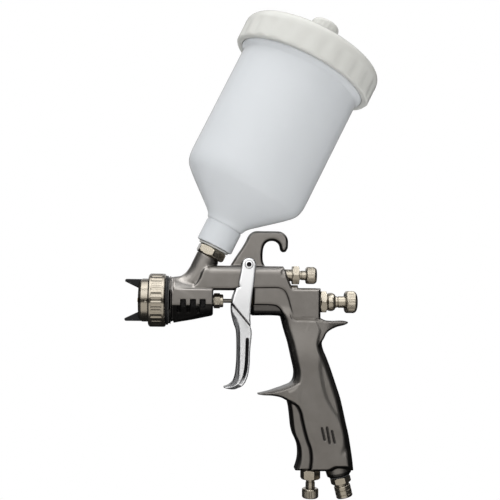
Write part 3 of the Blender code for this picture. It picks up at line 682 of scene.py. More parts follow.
# ------------------------------------------------------------------ cast body
def make_body():
    f = Field((20, 161.5), 15.6, (-134, 54), 0.5)
    X, Y, Z = f.X, f.Y, f.Z

    # handle: a raised main surface, and a lower rim in front of it below the finger spur
    main = smoothed([
        (83.5, 12, 1), (83.5, -4.2, 1), (98.5, -4.4), (102.6, -5.8), (105, -9.4), (106.2, -13.5), (107.5, -18.5), (109.2, -24), (111, -29.5), (112.6, -36), (114, -42), (115.2, -47),
        (115.9, -51.5), (115.2, -56.5), (112.5, -60.5), (108, -62.6), (108, -69.4), (112, -71.2), (116, -74), (118.9, -79),
        (120.3, -85), (122, -92), (124, -99), (126.3, -105.5), (127, -113), (126, -121.5, 1), (159, -121.5, 1), (158.2, -114),
        (157, -105), (155.5, -96), (153.5, -87.5), (151.5, -78.5), (149.3, -69.5), (146.5, -61), (143.6, -52.5), (141.3, -46),
        (138.9, -40), (136.7, -35), (135.7, -30.5), (136.2, -26), (137, -20), (134.2, -13, 1), (134.2, -8, 1), (122, -8, 1), (118, 12, 1),
    ])
    flat = f.outline(main)
    middle = np.interp(f.z, [-122, -90, -60, -30, 0], [143, 136, 131, 124, 120]).astype(np.float32)[None, None, :]
    rear = smooth_step((X - middle) / 8 + 0.5)
    low = smooth_step((-64 - Z) / 8)
    wide = 3.8 * (1 - low) + 1.9 * low
    rear = rear * (1 - 0.8 * smooth_step((Z + 33) / 11))
    wide = wide * (1 - rear) + 4.4 * rear
    wide = wide * (1 - 0.42 * smooth_step((Z + 13) / 6))
    deep = 5.0 * (1 - low) + 2.7 * low
    deep = deep * (1 - rear) + 5.6 * rear
    sweep = open_curve([(131.5, -36), (131.5, -48), (133.5, -60), (136.7, -70), (141.5, -78.5), (146, -84.8), (148.5, -90), (149.6, -96), (149.2, -103), (146.5, -110)])
    sx = np.interp(f.z, [p[1] for p in sweep[::-1]], [p[0] for p in sweep[::-1]]).astype(np.float32)[None, None, :]
    behind = smooth_step((X - sx) / 4.5) * smooth_step((Z + 112) / 8) * smooth_step((-34 - Z) / 14)
    half = 12.2 - 0.9 * behind - 1.7 * smooth_step((Z + 44) / 30) - 1.1 * smooth_step((Z + 12) / 9)
    body = f.bevelled(flat, half, wide, deep, 1.0)
    # three plain slanted grip grooves on the panel
    for cx, cz, reach in ((136.2, -94.5, 4.2), (139.8, -95.5, 5.6), (143.4, -96.5, 4.2)):
        groove = f.along([(cx - 1.0, cz + reach), (cx + 1.0, cz - reach)])
        body = smax(body, -(np.hypot(groove, Y - 12.4) - 0.75), 0.4)

    rim = smoothed([
        (118, -62), (112.2, -66), (110.9, -71.5), (112, -77), (113, -85), (113.7, -91), (115, -96), (117, -100.2),
        (118.5, -104.5), (119, -110), (118.5, -115), (117.3, -119.2), (116.5, -121.5, 1), (140, -121.5, 1), (136, -90), (128, -60),
    ])
    body = smin(body, f.bevelled(f.outline(rim), 10.0, 2.0, 3.4, 0.8), 0.4)

    spur = smoothed([
        (122, -58.5, 1), (117, -58), (112.6, -60.2), (108, -62), (103, -63.5), (98, -65), (92.5, -66.3), (88.7, -67.3), (93.5, -68.2),
        (99.5, -68.3), (105.5, -69.2), (110, -71.3), (114.5, -74.4), (119, -75.5, 1), (124, -72, 1),
    ])
    body = smin(body, f.bevelled(f.outline(spur), 7.2 + 4.7 * smooth_step((X - 92) / 20) - 1.5 * smooth_step((X - 117.5) / 6), 1.5, 3.0, 0.5), 1.2)

    tang = smoothed([
        (128, -11), (134.5, -12), (138, -13.4), (144, -13.9), (150.5, -13.6), (154.2, -14.1), (155, -15.3), (152, -16.9), (147, -18.1),
        (142.5, -20), (138.8, -22.8), (136, -28), (130, -34), (122, -24),
    ])
    body = smin(body, f.bevelled(f.outline(tang), 10.2 - 3.2 * smooth_step((X - 137) / 16), 1.2, 2.4, 0.5), 1.0)

    # barrel and rear block, one face
    barrel = smoothed([
        (39, 8.4), (43.5, 13.2), (45.7, 17), (47.4, 21.6), (50.5, 25), (55, 25.6), (106.9, 25.6, 1), (109, 21.2), (111.5, 14.6),
        (113.2, 10.9), (114.2, 9.9, 1), (134.3, 9.9, 1), (134.3, -13.2, 1), (113.6, -13.2, 1), (112.2, -9), (110.6, -2.6), (108.8, 3.4),
        (106.6, 7.2), (103, 8.8), (96, 8.9), (84, 8.5), (70, 7.8), (55, 7.7), (46, 7.4),
    ])
    flat = f.outline(barrel)
    top = smooth_step((Z - 14) / 5) * smooth_step((108.5 - X) / 3) * smooth_step((X - 49) / 5)
    body = smin(body, f.bevelled(flat, 10.6, 1.5 + 1.9 * top, 2.6 + 0.4 * top, 0.7 + 1.0 * top), 0.4)

    # valve boss under the barrel: an upright side, then a face that falls inwards
    boss = smoothed([
        (83.5, 4, 1), (83.5, -9.6, 1), (84.5, -10.5, 1), (103.5, -10.5), (107, -13.4), (112, -20, 1), (114, 4, 1)
    ])
    body = smin(body, f.bevelled(f.outline(boss), 7.7, 1.9, 3.4, 0.6), 0.4)
    for line, deep, r in (
        (open_curve([(83, 8.3), (96, 8.9), (103, 8.8), (106.5, 7.2), (108.6, 3.6), (110.5, -2), (112, -8), (113.4, -12), (116.5, -13.6)]), 10.6, 0.62),
        ([(116.5, -13.6), (134.6, -13.7)], 11.0, 0.72),
    ):
        body = smax(body, -(np.hypot(f.along(line), Y - deep) - r), 0.5)

    # head: cone behind the cap ring, with flat ribbed side pads
    head = f.round_bar((0, 0), (1, 0), [24.6, 25.1, 25.5, 27.0, 27.5, 31, 41, 55, 56], [17.4, 17.4, 15.6, 15.0, 16.4, 15.7, 14.0, 11.0, 10.0])
    pads = f.slab(f.outline([(27.3, 8.6), (55.9, 8.6), (55.9, -3.0), (27.3, -3.0)]), 13.7, 1.3)
    keel = (Y - 13.7 + 0.80 * np.maximum(-3.0 - Z, 0)) * 0.78
    head = np.where(X < 26.2, head, smax(head, keel, 0.5))
    head = smin(head, pads, 0.4)
    for x in (34.5, 41.5, 48.5):
        slot = np.maximum(np.maximum(np.abs(X - x) - 1.9, 11.2 - Y), np.maximum(Z - 0.9, -4.2 - Z))
        head = smax(head, -slot, 0.3)
        low_slot = np.maximum(np.abs(X - x + 3.2) - 0.9, np.maximum(-(keel + 1.1), np.maximum(Z + 4.6, -8.6 - Z)))
        head = smax(head, -low_slot, 0.3)
    body = smin(body, head, 0.7)

    # fluid way: from the head it bends up into the inlet tube
    bend = open_curve([(20, 9.6), (28, 9.7), (35, 10.6), (41, 14.5), (45.4, 20.2), (48.4, 26.2), (52.9, 35.4)], 8)
    way = np.hypot(f.along(bend), Y)
    thick = np.interp(f.x, [20, 26, 34, 44, 60], [7.4, 7.4, 8.0, 8.2, 8.2]).astype(np.float32)[:, None, None]
    way = way - thick
    way = np.maximum(way, 24.6 - X)
    cup_s = (X - 36.8) * math.sin(CUP_TILT) + Z * math.cos(CUP_TILT)
    way = np.maximum(way, cup_s - 35.7)
    body = smin(body, way, 1.6)
    tube = f.round_bar((36.8, 0), (math.sin(CUP_TILT), math.cos(CUP_TILT)), [14, 34.6, 35.7], [8.2, 8.2, 7.4])
    body = smin(body, tube, 0.8)

    # hook
    hook = smoothed([
        (67.5, 20, 1), (68.2, 25.4), (70.6, 30), (73.5, 34.5), (76.5, 39), (79.4, 44), (81.3, 48), (83.6, 50.3), (86.6, 51.5), (92, 51.6),
        (103, 51.6)] + arc(103, 43.9, 7.8, 68, 0, 4) + [(110.6, 39.6)] + arc(107.5, 38.9, 2.7, -10, -160, 4) + [
        (104.2, 41.2), (102.7, 43.2), (100.2, 44.4), (97.2, 44.3), (94.6, 42.9), (92.8, 40), (92.1, 35.5), (92.2, 30), (93.6, 26.2), (95.5, 22, 1),
    ])
    body = smin(body, f.bevelled(f.outline(hook), 4.6, 1.6, 2.9, 0.5), 1.0)
    body = np.minimum(body, f.pin(PIVOT, 5.2, 12.3))
    foot = f.round_bar((149.0, -123.0), (math.sin(INLET_TILT), -math.cos(INLET_TILT)), [-10, -2, 1.9, 2.6], [9.4, 9.3, 9.0, 8.2])
    body = smin(body, foot, 0.8)

    # bores
    holes = [
        f.round_bar((0, 0), (1, 0), [20, 34.29, 34.3, 50.2, 50.21, 60], [6.3, 6.3, 3.4, 3.4, 4.4, 4.4]),
        f.round_bar((0, 0), (1, 0), [78, 140], [6.6, 6.6]),
        f.round_bar((36.8, 0), (math.sin(CUP_TILT), math.cos(CUP_TILT)), [0, 23, 23.01, 40], [3.0, 3.0, 5.3, 5.3]),
        f.round_bar((0, 19.3), (1, 0), [90, 100.49, 100.5, 120], [2.2, 2.2, 4.7, 4.7]),
        f.round_bar((128.3, 0), (0, -1), [93, 130], [4.7, 4.7]),
        f.round_bar((149.0, -123.0), (math.sin(INLET_TILT), -math.cos(INLET_TILT)), [-16, -9, -8.99, 10], [3.3, 3.3, 5.3, 5.3]),
        f.round_bar((97, 0), (0, 1), [22.2, 32], [2.5, 2.5]),
        f.pin(PIVOT, 2.3, 30),
    ]
    for hole in holes:
        body = np.maximum(body, -hole)
    points, faces = f.mesh(body)
    # painted shade, near black: in the cooling slots, on the falling faces under the head and the boss, round the inlet
    # foot, in the grip grooves and along the front edge of the handle below the spur
    x, y, z = points[:, 0], np.abs(points[:, 1]), points[:, 2]
    painted_shade = np.zeros(len(points))
    for at in (34.5, 41.5, 48.5):
        painted_shade = np.maximum(painted_shade, (np.abs(x - at) < 2.2) * (y < 13.35) * (z < 1.0) * (z > -5) * (y > 8))
    under_head = smooth_step((-2.9 - z) / 0.8) * smooth_step((x - 26.5) / 0.6) * (x < 58)
    painted_shade = np.maximum(painted_shade, 0.93 * under_head)
    in_boss = (x > 82) * (x < 113 - np.maximum(-8 - z, 0) * 0.9) * (z < 2) * (y < 8.4)
    painted_shade = np.maximum(painted_shade, in_boss * (0.55 * smooth_step((-2.8 - z) / 0.5) + 0.45 * smooth_step((-6.2 - z) / 1.2)))
    along_foot = (x - 149.0) * math.sin(INLET_TILT) - (z + 123.0) * math.cos(INLET_TILT)
    painted_shade = np.maximum(painted_shade, 0.9 * smooth_step((along_foot + 0.5) / 1.0) * (x > 136) * (z < -118))
    for cx, cz, reach in ((136.2, -94.5, 4.2), (139.8, -95.5, 5.6), (143.4, -96.5, 4.2)):
        t = np.clip((cz + reach - z) / (2 * reach), 0, 1)
        gap = np.hypot(x - (cx - 1.0 + 2.0 * t), z - (cz + reach - 2 * reach * t))
        painted_shade = np.maximum(painted_shade, 0.75 * smooth_step((0.85 - gap) / 0.3 + 0.5) * (y > 10))
    edge = open_curve([(111, -71.2), (113, -72), (116, -74), (118.9, -79), (120.3, -85), (122, -92), (124, -99), (126.3, -105.5), (127, -113), (126.2, -120.8)])
    away = np.full(len(points), 1e9)
    near_edge = (x > 106) & (x < 130) & (z < -68)
    for (ax, az), (bx, bz) in zip(edge, edge[1:]):
        ex, ez = bx - ax, bz - az
        t = np.clip(((x - ax) * ex + (z - az) * ez) / max(ex * ex + ez * ez, 1e-9), 0, 1)
        away = np.where(near_edge, np.minimum(away, np.hypot(x - ax - ex * t - 0.35, z - az - ez * t)), away)
    painted_shade = np.maximum(painted_shade, 0.95 * smooth_step((1.0 - away) / 0.6 + 0.5) * (y > 7))
    return piece("gun_casting", points, faces, "gun", ["gun_body"], GUNMETAL, painted_shade=painted_shade)


# ------------------------------------------------------------------ trigger
def make_trigger():
    f = Field((61, 90), 16, (-67, 34), 0.36)
    X, Y, Z = f.X, f.Y, f.Z
    shape = smoothed(
        arc(PIVOT[0], PIVOT[1], 5.3, 180, 0, 9)
        + [
            (86.2, 20.5), (85.5, 13), (84.6, 7), (83.8, 0), (83.3, -6), (83.0, -12), (83.4, -17.5), (84.4, -22.5), (84.1, -28), (83.6, -33),
            (83.3, -38.5), (83.1, -46), (82.1, -53), (80.6, -57.4), (78.5, -60.5), (75.5, -62.7), (72, -64), (67.6, -63.7), (64.2, -62.5),
            (67.4, -61.2), (69.6, -59.6), (71.3, -57.6), (72.5, -53.5), (73.1, -48.5), (73.5, -42.5), (73.5, -31.5), (73, -22), (71.2, -16.5),
            (69.8, -11.5), (69.1, -7), (69.1, -2), (70, 3), (71.4, 7.4), (72.3, 9.4), (74.6, 10.4, 1), (73.9, 11.8, 1), (74.0, 14), (74.8, 18),
        ]
    )
    flat = f.outline(shape)
    # the arms stand wide and fold in to the blade along a slanted line
    nx, nz = 12.1, 10.2
    size = math.hypot(nx, nz)
    across = ((X - 71.4) * nx + (Z + 4.6) * nz) / size
    wide = smooth_step(across / 1.6 + 0.3)
    half = 8.9 + 5.3 * wide
    front = smooth_step((77.5 - X) / 3) * smooth_step((-6 - Z) / 8)
    body = f.bevelled(flat, half, 0.8 + 2.5 * front, 1.0 + 3.2 * front, 0.7)
    hollow = smoothed([
        (60, 40, 1), (60, 6.9, 1), (72.4, 6.6, 1), (72.4, -6), (72.9, -11), (74.7, -17), (76.4, -24), (76.8, -31), (76.8, -42), (76.2, -49),
        (76.6, -54), (78.6, -57.4), (100, -57, 1), (100, 40, 1),
    ])
    gap = np.maximum(f.outline(hollow), Y - (half - 1.6))
    body = smax(body, -gap, 0.4)
    # groove along each side of the blade, towards the rear
    stripe = open_curve([(81.0, -27.6), (80.9, -34), (80.7, -42), (80.1, -49), (78.7, -55), (76.4, -59.4)])
    body = smax(body, -(np.hypot(f.along(stripe), (Y - 9.3) * 1.1) - 1.2), 0.25)
    body = np.minimum(body, np.maximum(f.pin((73.9, 0), 2.3, 5.0), 70.5 - X))
    body = np.maximum(body, -np.maximum(np.maximum(Y - 2.2, Z - 5.4), -4.2 - Z))
    body = np.maximum(body, -f.pin(PIVOT, 2.3, 30))
    points, faces = f.mesh(body)
    # painted shade darkens the groove, the fold line and the shadowed front edge of the blade
    x, y, z = points[:, 0], np.abs(points[:, 1]), points[:, 2]
    away = np.full(len(points), 1e9)
    for (ax, az), (bx, bz) in zip(stripe, stripe[1:]):
        ex, ez = bx - ax, bz - az
        t = np.clip(((x - ax) * ex + (z - az) * ez) / (ex * ex + ez * ez), 0, 1)
        away = np.minimum(away, np.hypot(x - ax - ex * t, z - az - ez * t))
    reach = 1.25 - 0.5 * smooth_step((-50 - z) / 9)
    painted_shade = smooth_step((reach - away) / 0.3 + 0.5) * (y > 7.4) * (1 - 0.5 * smooth_step((-54 - z) / 5))
    step = ((x - 71.4) * nx + (z + 4.6) * nz) / size / 1.6 + 0.3
    painted_shade = np.maximum(painted_shade, smooth_step((0.5 - np.abs(step - 0.5)) / 0.25) * (y > 8.2) * 0.9)
    return piece("trigger_lever", points, faces, "trigger", ["trigger"], CHROME, painted_shade=painted_shade)


# ------------------------------------------------------------------ air cap
def make_cap():
    f = Field((-10.4, 13), 18.2, (-18.2, 18.2), 0.3)
    X, Y, Z = f.X, f.Y, f.Z
    skirt = f.round_bar((0, 0), (1, 0), [1.2, 1.21, 1.6, 2.8, 3.6, 9.6, 9.61, 11.6], [13.4, 13.6, 14.2, 15.3, 15.7, 15.7, 16.9, 16.9])
    dish = f.round_bar((0, 0), (1, 0), [0.9, 2.0], [10.0, 9.3])
    skirt = smax(skirt, -dish, 0.3)
    boss = f.round_bar((0, 0), (1, 0), [0.7, 1.0, 2.2, 5], [3.0, 3.4, 4.1, 4.4])
    skirt = smin(skirt, boss, 0.4)
    inside = f.round_bar((0, 0), (1, 0), [3.4, 4.5, 9.4, 13.5], [3.0, 5.0, 13.6, 13.6])
    skirt = np.maximum(skirt, -inside)
    skirt = np.maximum(skirt, -f.round_bar((0, 0), (1, 0), [-1, 6], [2.1, 2.1]))
    for a in (0, 60, 120, 180, 240, 300):
        y, z = 6.6 * math.cos(math.radians(a)), 6.6 * math.sin(math.radians(a))
        if y >= -0.1:
            skirt = np.maximum(skirt, -(np.hypot(Y - y, Z - z) - 0.55))
    hole = np.maximum(np.hypot(X - 6.6, Z + 0.4) - 0.95, 12 - Y)
    skirt = np.maximum(skirt, -np.maximum(hole, 14.6 - Y))
    horn = f.outline([(3.2, 15.3), (-8.2, 15.3), (-9.1, 14.6), (-9.1, 13.3), (1.6, 8.2), (3.2, 8.2)])
    other = f.outline([(3.2, -8.2), (1.6, -8.2), (-9.1, -13.3), (-9.1, -14.6), (-8.2, -15.3), (3.2, -15.3)])
    width = 4.3 - 0.16 * np.clip(1 - X, 0, 10)
    horns = np.minimum(f.slab(horn, width, 0.45), f.slab(other, width, 0.45))
    around = np.hypot(Y, Z)
    horns = smax(horns, around - 15.5, 0.4)
    for x, slope in ((-6.4, 1.1), (-3.2, 1.1)):
        for side in (1, -1):
            s = (X - x) * 0.62 + (Z * side - 11.4) * 0.78
            t = -(X - x) * 0.78 + (Z * side - 11.4) * 0.62
            drill = np.maximum(np.hypot(s, Y) - 0.6, np.abs(t) - 2.2)
            horns = np.maximum(horns, -drill)
    points, faces = f.mesh(np.maximum(skirt, -(horns - 0.06)))
    points[:, 0] += 1.0
    piece("air_cap_skirt", points, faces, "cap", ["air_cap"], DULL_NICKEL)
    points, faces = f.mesh(horns)
    points[:, 0] += 1.0
    piece("air_cap_horns", points, faces, "cap", ["air_cap"], BLACK)


make_body()
make_trigger()
make_cap()

# ------------------------------------------------------------------ air cap end, turned pieces
FLUTES = 30


def fluted(r, s, a):
    fade = np.clip((s - 11.4) / 0.8, 0, 1) * np.clip((19.4 - s) / 0.8, 0, 1)
    off = (((a * FLUTES / (2 * math.pi)) % 1) - 0.5) * 2 * math.pi / FLUTES * 19.4
    return np.where(r > 19.0, r - 0.36 * np.sqrt(fade) * np.clip(1 - (off / 1.5) ** 2, 0, 1) ** 0.8, r)


turned(
    "cap_retaining_ring", "spray",
    [(16.1, 9.2, 0.2), (18.3, 9.2, 0.6), (19.4, 10.3, 0.6), (19.4, 11.2), (19.4, 19.5), (19.4, 20.9, 0.5), (18.6, 21.6, 0.3), (17.7, 21.6, 0.2), (17.7, 20.4), (17.3, 20.4), (17.3, 10.3), (16.1, 10.3)],
    "cap_ring", ["air_cap_ring"], DULL_NICKEL, 480, fluted, 0.5,
)
turned(
    "distributor_ring", "spray",
    [(7.4, 12.0), (16.9, 12.0, 0.3), (16.9, 20.7), (17.2, 20.7, 0.2), (17.2, 21.9), (17.9, 21.9, 0.2), (17.9, 23.4, 0.3), (7.4, 23.4)],
    "gun", ["air_distributor"], BLACK, 128,
)
turned(
    "nozzle_tip", "spray",
    [(0.75, 0.9), (1.6, 0.9, 0.15), (1.6, 3.4, 0.2), (6.2, 10.2), (7.0, 11.4, 0.3), (7.0, 22.8), (6.0, 23.2), (6.0, 34.0), (3.0, 34.0), (3.0, 10.0), (2.4, 7.0), (0.75, 2.2)],
    "gun", ["fluid_nozzle"], BRASS, 72,
)
turned(
    "needle_rod", "spray", [(0, 1.2), (0.35, 1.2), (1.0, 7.0), (1.5, 12.0), (1.5, 127.6, 0.2), (1.1, 128.0), (0, 128.0)],
    "needle", ["fluid_needle"], ROD_STEEL, 48,
)
turned(
    "packing_gland_nut", "spray",
    [(1.85, 54.1), (4.1, 54.1), (4.1, 56.3), (4.6, 56.35), (5.6, 56.9), (5.6, 60.7), (4.9, 61.2), (4.75, 61.25), (4.75, 63.0), (4.3, 63.5, 0.2), (1.85, 62.7)],
    "gun", ["packing_nut"], NICKEL, 96, hexed(11.2, 56.3, 61.22), 0.6,
)
turned(
    "guide_nut", "spray",
    [(3.4, 117.0), (5.8, 117.0), (6.3, 117.5), (6.3, 134.6), (7.7, 134.65), (8.9, 135.3), (8.9, 138.4), (7.9, 139.15), (7.6, 139.2), (4.7, 139.2), (4.7, 120.5), (3.4, 120.5)],
    "gun", ["needle_guide"], NICKEL, 96, hexed(17.8, 134.6, 139.18, math.pi / 6), 0.8,
)
turned(
    "lock_collar", "spray",
    [(4.7, 139.5), (5.6, 139.5, 0.2), (6.5, 140.6, 0.6), (6.8, 142.4, 0.8), (6.6, 144.2, 0.8), (5.8, 145.5, 0.4), (5.2, 145.8), (4.7, 145.8)],
    "gun", ["guide_lock_ring"], NICKEL, 96,
)
turned(
    "fluid_adjuster_knob", "spray",
    [(0, 141.0), (4.3, 141.0, 0.2), (4.3, 147.0), (3.9, 147.3), (3.9, 147.9), (4.3, 148.2), (4.3, 153.2), (7.2, 153.2, 0.2), (8.1, 154.1, 0.3),
     (8.1, 155.0), (8.1, 159.0), (8.1, 159.6, 0.4), (7.6, 160.8, 0.5), (6.4, 161.7, 0.5), (4.6, 162.1, 0.4), (3.0, 162.1), (2.6, 161.7), (0, 161.6)],
    "fluid_knob", ["fluid_knob"], NICKEL, 288, knurled(44, 0.26, 154.3, 160.0, 7.8), 0.6,
)

# ------------------------------------------------------------------ air valve, seen between boss and trigger
turned(
    "valve_seat_body", "spray", [(3.4, 83.8), (6.0, 83.8), (6.3, 84.1), (6.3, 103.0), (4.8, 103.0), (4.8, 91.0), (3.4, 91.0)],
    "gun", ["air_valve_body"], DARK_BRASS, 72,
)
turned(
    "valve_stem_rod", "spray",
    [(1.8, 76.5), (2.7, 76.5, 0.2), (3.1, 76.9), (3.1, 105.0), (5.6, 105.0), (5.6, 107.4), (3.1, 107.4), (3.1, 121.5), (1.8, 121.5)],
    "valve_stem", ["air_valve_stem"], STEEL, 64,
)

# ------------------------------------------------------------------ cup and lid
turned(
    "cup_inlet_fitting", "cup",
    [(3.5, 23.4), (5.0, 23.4), (5.0, 36.0), (8.6, 36.0), (9.6, 36.05), (11.6, 37.3), (11.6, 41.3), (9.8, 42.55), (8.5, 42.6), (8.5, 60.0, 0.4), (3.5, 60.0)],
    "gun", ["fluid_inlet_fitting"], NICKEL, 120, hexed(23.2, 36.0, 42.58, 0.698), 1.0,
)
turned(
    "cup_seat_washer", "cup", [(8.8, 42.9), (11.6, 42.9, 0.2), (11.6, 44.0, 0.2), (8.8, 44.0)],
    "cup_seal", ["cup_gasket"], PTFE, 96,
)
turned(
    "cup_shell", "cup",
    [
        (8.9, 44.4), (13.2, 44.4, 0.5), (13.8, 45.2, 0.4), (13.8, 60.4, 0.3), (13.3, 60.9, 0.3), (13.3, 61.6, 0.3), (14.3, 62.3, 0.4), (15.2, 64.6, 2.5), (17.6, 67.4, 3.0), (38.6, 85.0, 5.0), (44.3, 90.6, 3.0),
        (46.3, 95.2, 3.0), (46.8, 100.5, 2.0), (46.8, 185.6, 1.5), (48.6, 187.4, 0.8), (49.4, 188.6, 0.4), (49.4, 206.0, 0.4), (44.6, 206.0, 0.4), (44.6, 100.0), (44.2, 96.2),
        (42.4, 92.4), (38.8, 88.4), (13.6, 67.2), (11.6, 64.6), (8.9, 61.6),
    ],
    "cup", ["cup_body"], CUP_PLASTIC, 160, None, 6.0,
)


def lobed(r, s, a):
    low = np.clip((s - 189.6) / 1.2, 0, 1) * np.clip((206.4 - s) / 6.0, 0, 1)
    wave = 0.5 - 0.5 * np.cos(a * 24)
    dip = 0.75 * low * wave ** 1.5
    return np.where((r > 52.0) & (s < 207.4), r - dip, r)


turned(
    "lid_shell", "cup",
    [
        (49.8, 189.2), (53.2, 189.2, 0.5), (54.5, 190.6, 0.8), (54.5, 192.6), (54.5, 202.4), (54.6, 204.6, 1.6), (53.8, 208.0, 1.6), (51.6, 210.6, 1.6),
        (47.8, 212.2, 2.0), (47.2, 212.3), (46.4, 212.6), (36, 214.8), (20, 217.4), (12, 218.4, 0.6), (3.2, 218.4), (3.2, 216.0), (20, 215.0), (36, 212.4),
        (46, 209.0), (46, 207.9), (49.8, 207.9),
    ],
    "lid", ["cup_lid"], LID_PLASTIC, 288, lobed, 2.0,
)


def vent_grip(r, s, a):
    fade = np.clip((s - 219.8) / 0.8, 0, 1) * np.clip((230.6 - s) / 1.6, 0, 1)
    return np.where(r > 10.0, r - 0.35 * fade * (0.5 - 0.5 * np.cos(a * 18)), r)


turned(
    "vent_cap_shell", "cup",
    [(0, 233.4), (7.2, 233.4, 0.8), (9.9, 232.5, 1.0), (11.0, 230.4, 0.8), (11.2, 227.8, 0.5), (11.2, 218.8, 0.3), (2.7, 218.8), (2.7, 212.4, 0.3), (0, 212.4)],
    "vent", ["lid_vent_cap"], LID_PLASTIC, 144, vent_grip, 1.0,
)

# ------------------------------------------------------------------ pattern control
turned(
    "fan_gland_nut", "fan",
    [(3.8, 101.5), (4.4, 101.5), (4.4, 113.8), (6.6, 113.85), (7.6, 114.5), (7.6, 118.2), (6.6, 118.95), (6.2, 119.0), (3.8, 119.0)],
    "gun", ["fan_valve_gland"], NICKEL, 96, hexed(15.2, 113.8, 118.98, math.pi / 6), 0.8,
)
turned(
    "fan_adjuster_knob", "fan",
    [(0, 109.3), (3.5, 109.3, 0.2), (3.5, 119.6), (3.2, 119.9), (3.2, 120.6), (3.5, 120.9), (3.5, 124.0), (5.4, 124.0, 0.2), (6.3, 124.9, 0.3),
     (6.3, 130.2, 0.5), (5.2, 131.9, 0.5), (2.2, 132.1), (1.9, 131.8), (0, 131.7)],
    "fan_knob", ["fan_knob"], NICKEL, 240, knurled(36, 0.22, 125.0, 130.2, 6.0), 0.6,
)

# ------------------------------------------------------------------ air volume control
turned(
    "control_gland_nut", "control",
    [(3.7, 108.0), (4.4, 108.0), (4.4, 121.8), (6.5, 121.85), (7.4, 122.5), (7.4, 127.7), (6.5, 128.45), (6.2, 128.5), (3.7, 128.5)],
    "gun", ["air_control_gland"], NICKEL, 96, hexed(14.8, 121.8, 128.48, 0.28), 0.8,
)
turned(
    "control_adjuster_knob", "control",
    [(0, 112.0), (3.4, 112.0), (3.4, 129.4), (3.1, 129.7), (3.1, 130.6), (3.4, 130.9), (3.4, 135.1), (5.2, 135.1, 0.2), (6.0, 135.9, 0.3), (6.0, 141.2, 0.4), (5.2, 142.1, 0.4), (2.2, 142.1), (0, 141.8)],
    "air_knob", ["air_control_knob"], NICKEL, 240, knurled(36, 0.22, 136.0, 141.4, 5.7), 0.6,
)


# ------------------------------------------------------------------ air inlet
def waist_holes(r, s, a):
    r = hexed(15.0, 4.0, 8.58, 0.2)(r, s, a)
    off = ((a - math.pi / 2) % (math.pi) + math.pi / 2) % math.pi - math.pi / 2
    near = np.hypot(off * 5.4, s - 9.7)
    return np.where((r > 4.5) & (s > 8.7) & (s < 10.6) & (near < 0.7), r - 0.9, r)


turned(
    "inlet_nipple_body", "inlet",
    [(3.6, -7.0), (5.0, -7.0), (5.0, 3.9), (6.4, 3.95), (7.5, 4.6), (7.5, 8.0), (6.4, 8.6), (5.4, 9.0), (5.4, 10.2), (6.0, 10.6, 0.2), (6.0, 13.0),
     (5.75, 13.2), (5.75, 13.5), (6.0, 13.7), (6.0, 16.2), (5.75, 16.4), (5.75, 16.7), (6.0, 16.9), (6.0, 18.4, 0.2), (5.5, 18.9), (3.6, 18.9)],
    "gun", ["air_inlet_nipple"], NICKEL, 144, waist_holes, 0.35,
)

# ------------------------------------------------------------------ trigger pin and clip
# painted shade in the small hole of the pin head
turned(
    "pivot_pin", "pivot",
    [(0, 12.4), (1.5, 12.6), (1.58, 15.4), (1.75, 15.8), (2.5, 15.8, 0.2), (3.0, 15.4, 0.2), (3.1, 14.5), (2.0, 14.5), (2.0, -15.6, 0.1), (1.7, -15.9), (0, -15.9)],
    "gun", ["trigger_pin"], CHROME, 72, painted_shade=lambda r, s: (r < 1.6) * (s > 10),
)
turned(
    "pivot_clip", "pivot", [(2.3, -14.5), (3.6, -14.5, 0.1), (3.6, -15.3, 0.1), (2.3, -15.3)],
    "gun", ["trigger_pin_clip"], STEEL, 72,
)

# ------------------------------------------------------------------ CAD nodes that stay keep their shape and get the same finishes
for node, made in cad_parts.items():
    for holder in made.material_slots:
        if not holder.material:
            continue
        for key, finish in SLOTS.items():
            if holder.material.name.split(".")[0].endswith(key):
                holder.material = finish
                break

# ------------------------------------------------------------------ floor, light and camera
floor_mesh = bpy.data.meshes.new("studio_floor")
floor_mesh.from_pydata([(-3, -3, -0.0008), (3, -3, -0.0008), (3, 3, -0.0008), (-3, 3, -0.0008)], [], [(0, 1, 2, 3)])
floor = bpy.data.objects.new("studio_floor", floor_mesh)
bpy.context.scene.collection.objects.link(floor)
floor.visible_glossy = False
floor.visible_shadow = False
made, tree, body = blank("pale_floor")
mottle = noise(tree, here(tree), 3, 3)
feed(tree, body, Base_Color=mixed(tree, mottle, (0.80, 0.80, 0.80), (0.86, 0.86, 0.86)), Roughness=0.9, Specular_IOR_Level=0.1)
glow = add(tree, "ShaderNodeEmission", {"Color": (1, 1, 1, 1), "Strength": 1.0})
seen = add(tree, "ShaderNodeLightPath").outputs["Is Camera Ray"]
choose = add(tree, "ShaderNodeMixShader", {0: seen, 1: body.outputs[0], 2: glow.outputs[0]})
out = [n for n in tree.nodes if n.type == "OUTPUT_MATERIAL"][0]
tree.links.new(choose.outputs[0], out.inputs[0])
floor_mesh.materials.append(made)

world = bpy.data.worlds.new("studio_world")
bpy.context.scene.world = world
world.use_nodes = True
tree = world.node_tree
tree.nodes.clear()
out = add(tree, "ShaderNodeOutputWorld")
paths = add(tree, "ShaderNodeLightPath")
plain = add(tree, "ShaderNodeBackground", {"Color": (1, 1, 1, 1), "Strength": 1.0})
side = add(tree, "ShaderNodeSeparateXYZ", {0: add(tree, "ShaderNodeTexCoord").outputs["Generated"]}).outputs[0]
soft = add(tree, "ShaderNodeBackground", {"Color": (0.97, 0.98, 1, 1), "Strength": math_node(tree, "MULTIPLY_ADD", side, -0.08, 0.35)})
dim = add(tree, "ShaderNodeBackground", {"Color": (1, 1, 1, 1), "Strength": 0.035})
glossy = add(tree, "ShaderNodeMixShader", {0: paths.outputs["Is Glossy Ray"], 1: soft.outputs[0], 2: dim.outputs[0]})
final = add(tree, "ShaderNodeMixShader", {0: paths.outputs["Is Camera Ray"], 1: glossy.outputs[0], 2: plain.outputs[0]})
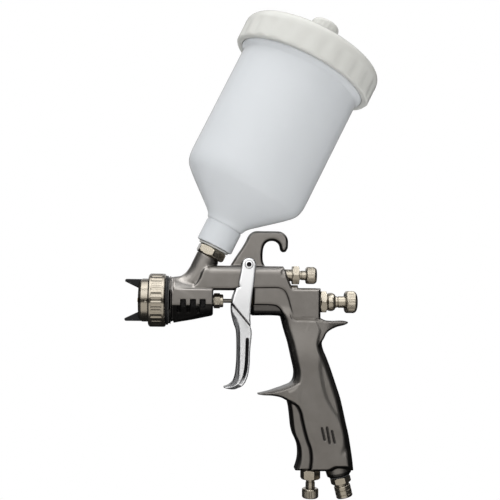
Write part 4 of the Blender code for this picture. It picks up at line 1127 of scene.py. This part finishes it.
tree.links.new(final.outputs[0], out.inputs[0])

centre = Vector(rowed([(84, 0, 20)])[0])


def softbox(name, azimuth, low, high, spread, distance, radiance, tint=(1, 1, 1)):
    """A rectangular softbox aimed at the gun, between two elevations. Azimuth 0 is in front, on the camera's side."""
    light = bpy.data.lights.new(name, "AREA")
    light.shape = "RECTANGLE"
    light.size = 2 * distance * math.tan(math.radians(spread / 2))
    light.size_y = 2 * distance * math.tan(math.radians((high - low) / 2))
    light.energy = radiance * math.pi * light.size * light.size_y
    light.color = tint
    made = bpy.data.objects.new(name, light)
    az, el = math.radians(azimuth), math.radians((low + high) / 2)
    way = Vector((math.sin(az) * math.cos(el), -math.cos(az) * math.cos(el), math.sin(el)))
    made.location = centre + way * distance
    made.rotation_euler = way.to_track_quat("Z", "Y").to_euler()
    made.visible_camera = False
    bpy.context.scene.collection.objects.link(made)
    return made


softbox("front_card", -8, 0.6, 26, 76, 1.6, 1.32, (1.0, 0.99, 0.97))
softbox("key_upper_front", -16, 27, 55, 70, 1.6, 1.8)
softbox("overhead", -10, 62, 112, 74, 1.4, 2.6)
softbox("low_card", -6, -68, -7, 70, 1.6, 0.6, (1.0, 0.97, 0.92))
softbox("back_card", 180, 2, 52, 64, 1.6, 1.1)

camera = bpy.data.cameras.new("photo_camera")
camera.sensor_width = 36.0
camera.clip_start = 0.01
holder = bpy.data.objects.new("photo_camera", camera)
bpy.context.scene.collection.objects.link(holder)
SCALE = 0.7375
eye = np.array([52.0, -600.0, 0.0])
aim = np.array([82.7, 0.0, 37.6])
camera.lens = np.linalg.norm(aim - eye) / SCALE * 36.0 / 500.0
way = Vector(aim - eye).normalized()
turn = way.to_track_quat("-Z", "Y").to_matrix()
turn = turn @ Matrix.Rotation(math.radians(0.6), 3, "Z")
holder.matrix_world = Matrix.Translation(Vector(rowed([eye])[0])) @ turn.to_4x4()
bpy.context.scene.camera = holder
bpy.context.scene.view_settings.view_transform = "Standard"
bpy.context.scene.view_settings.look = "None"
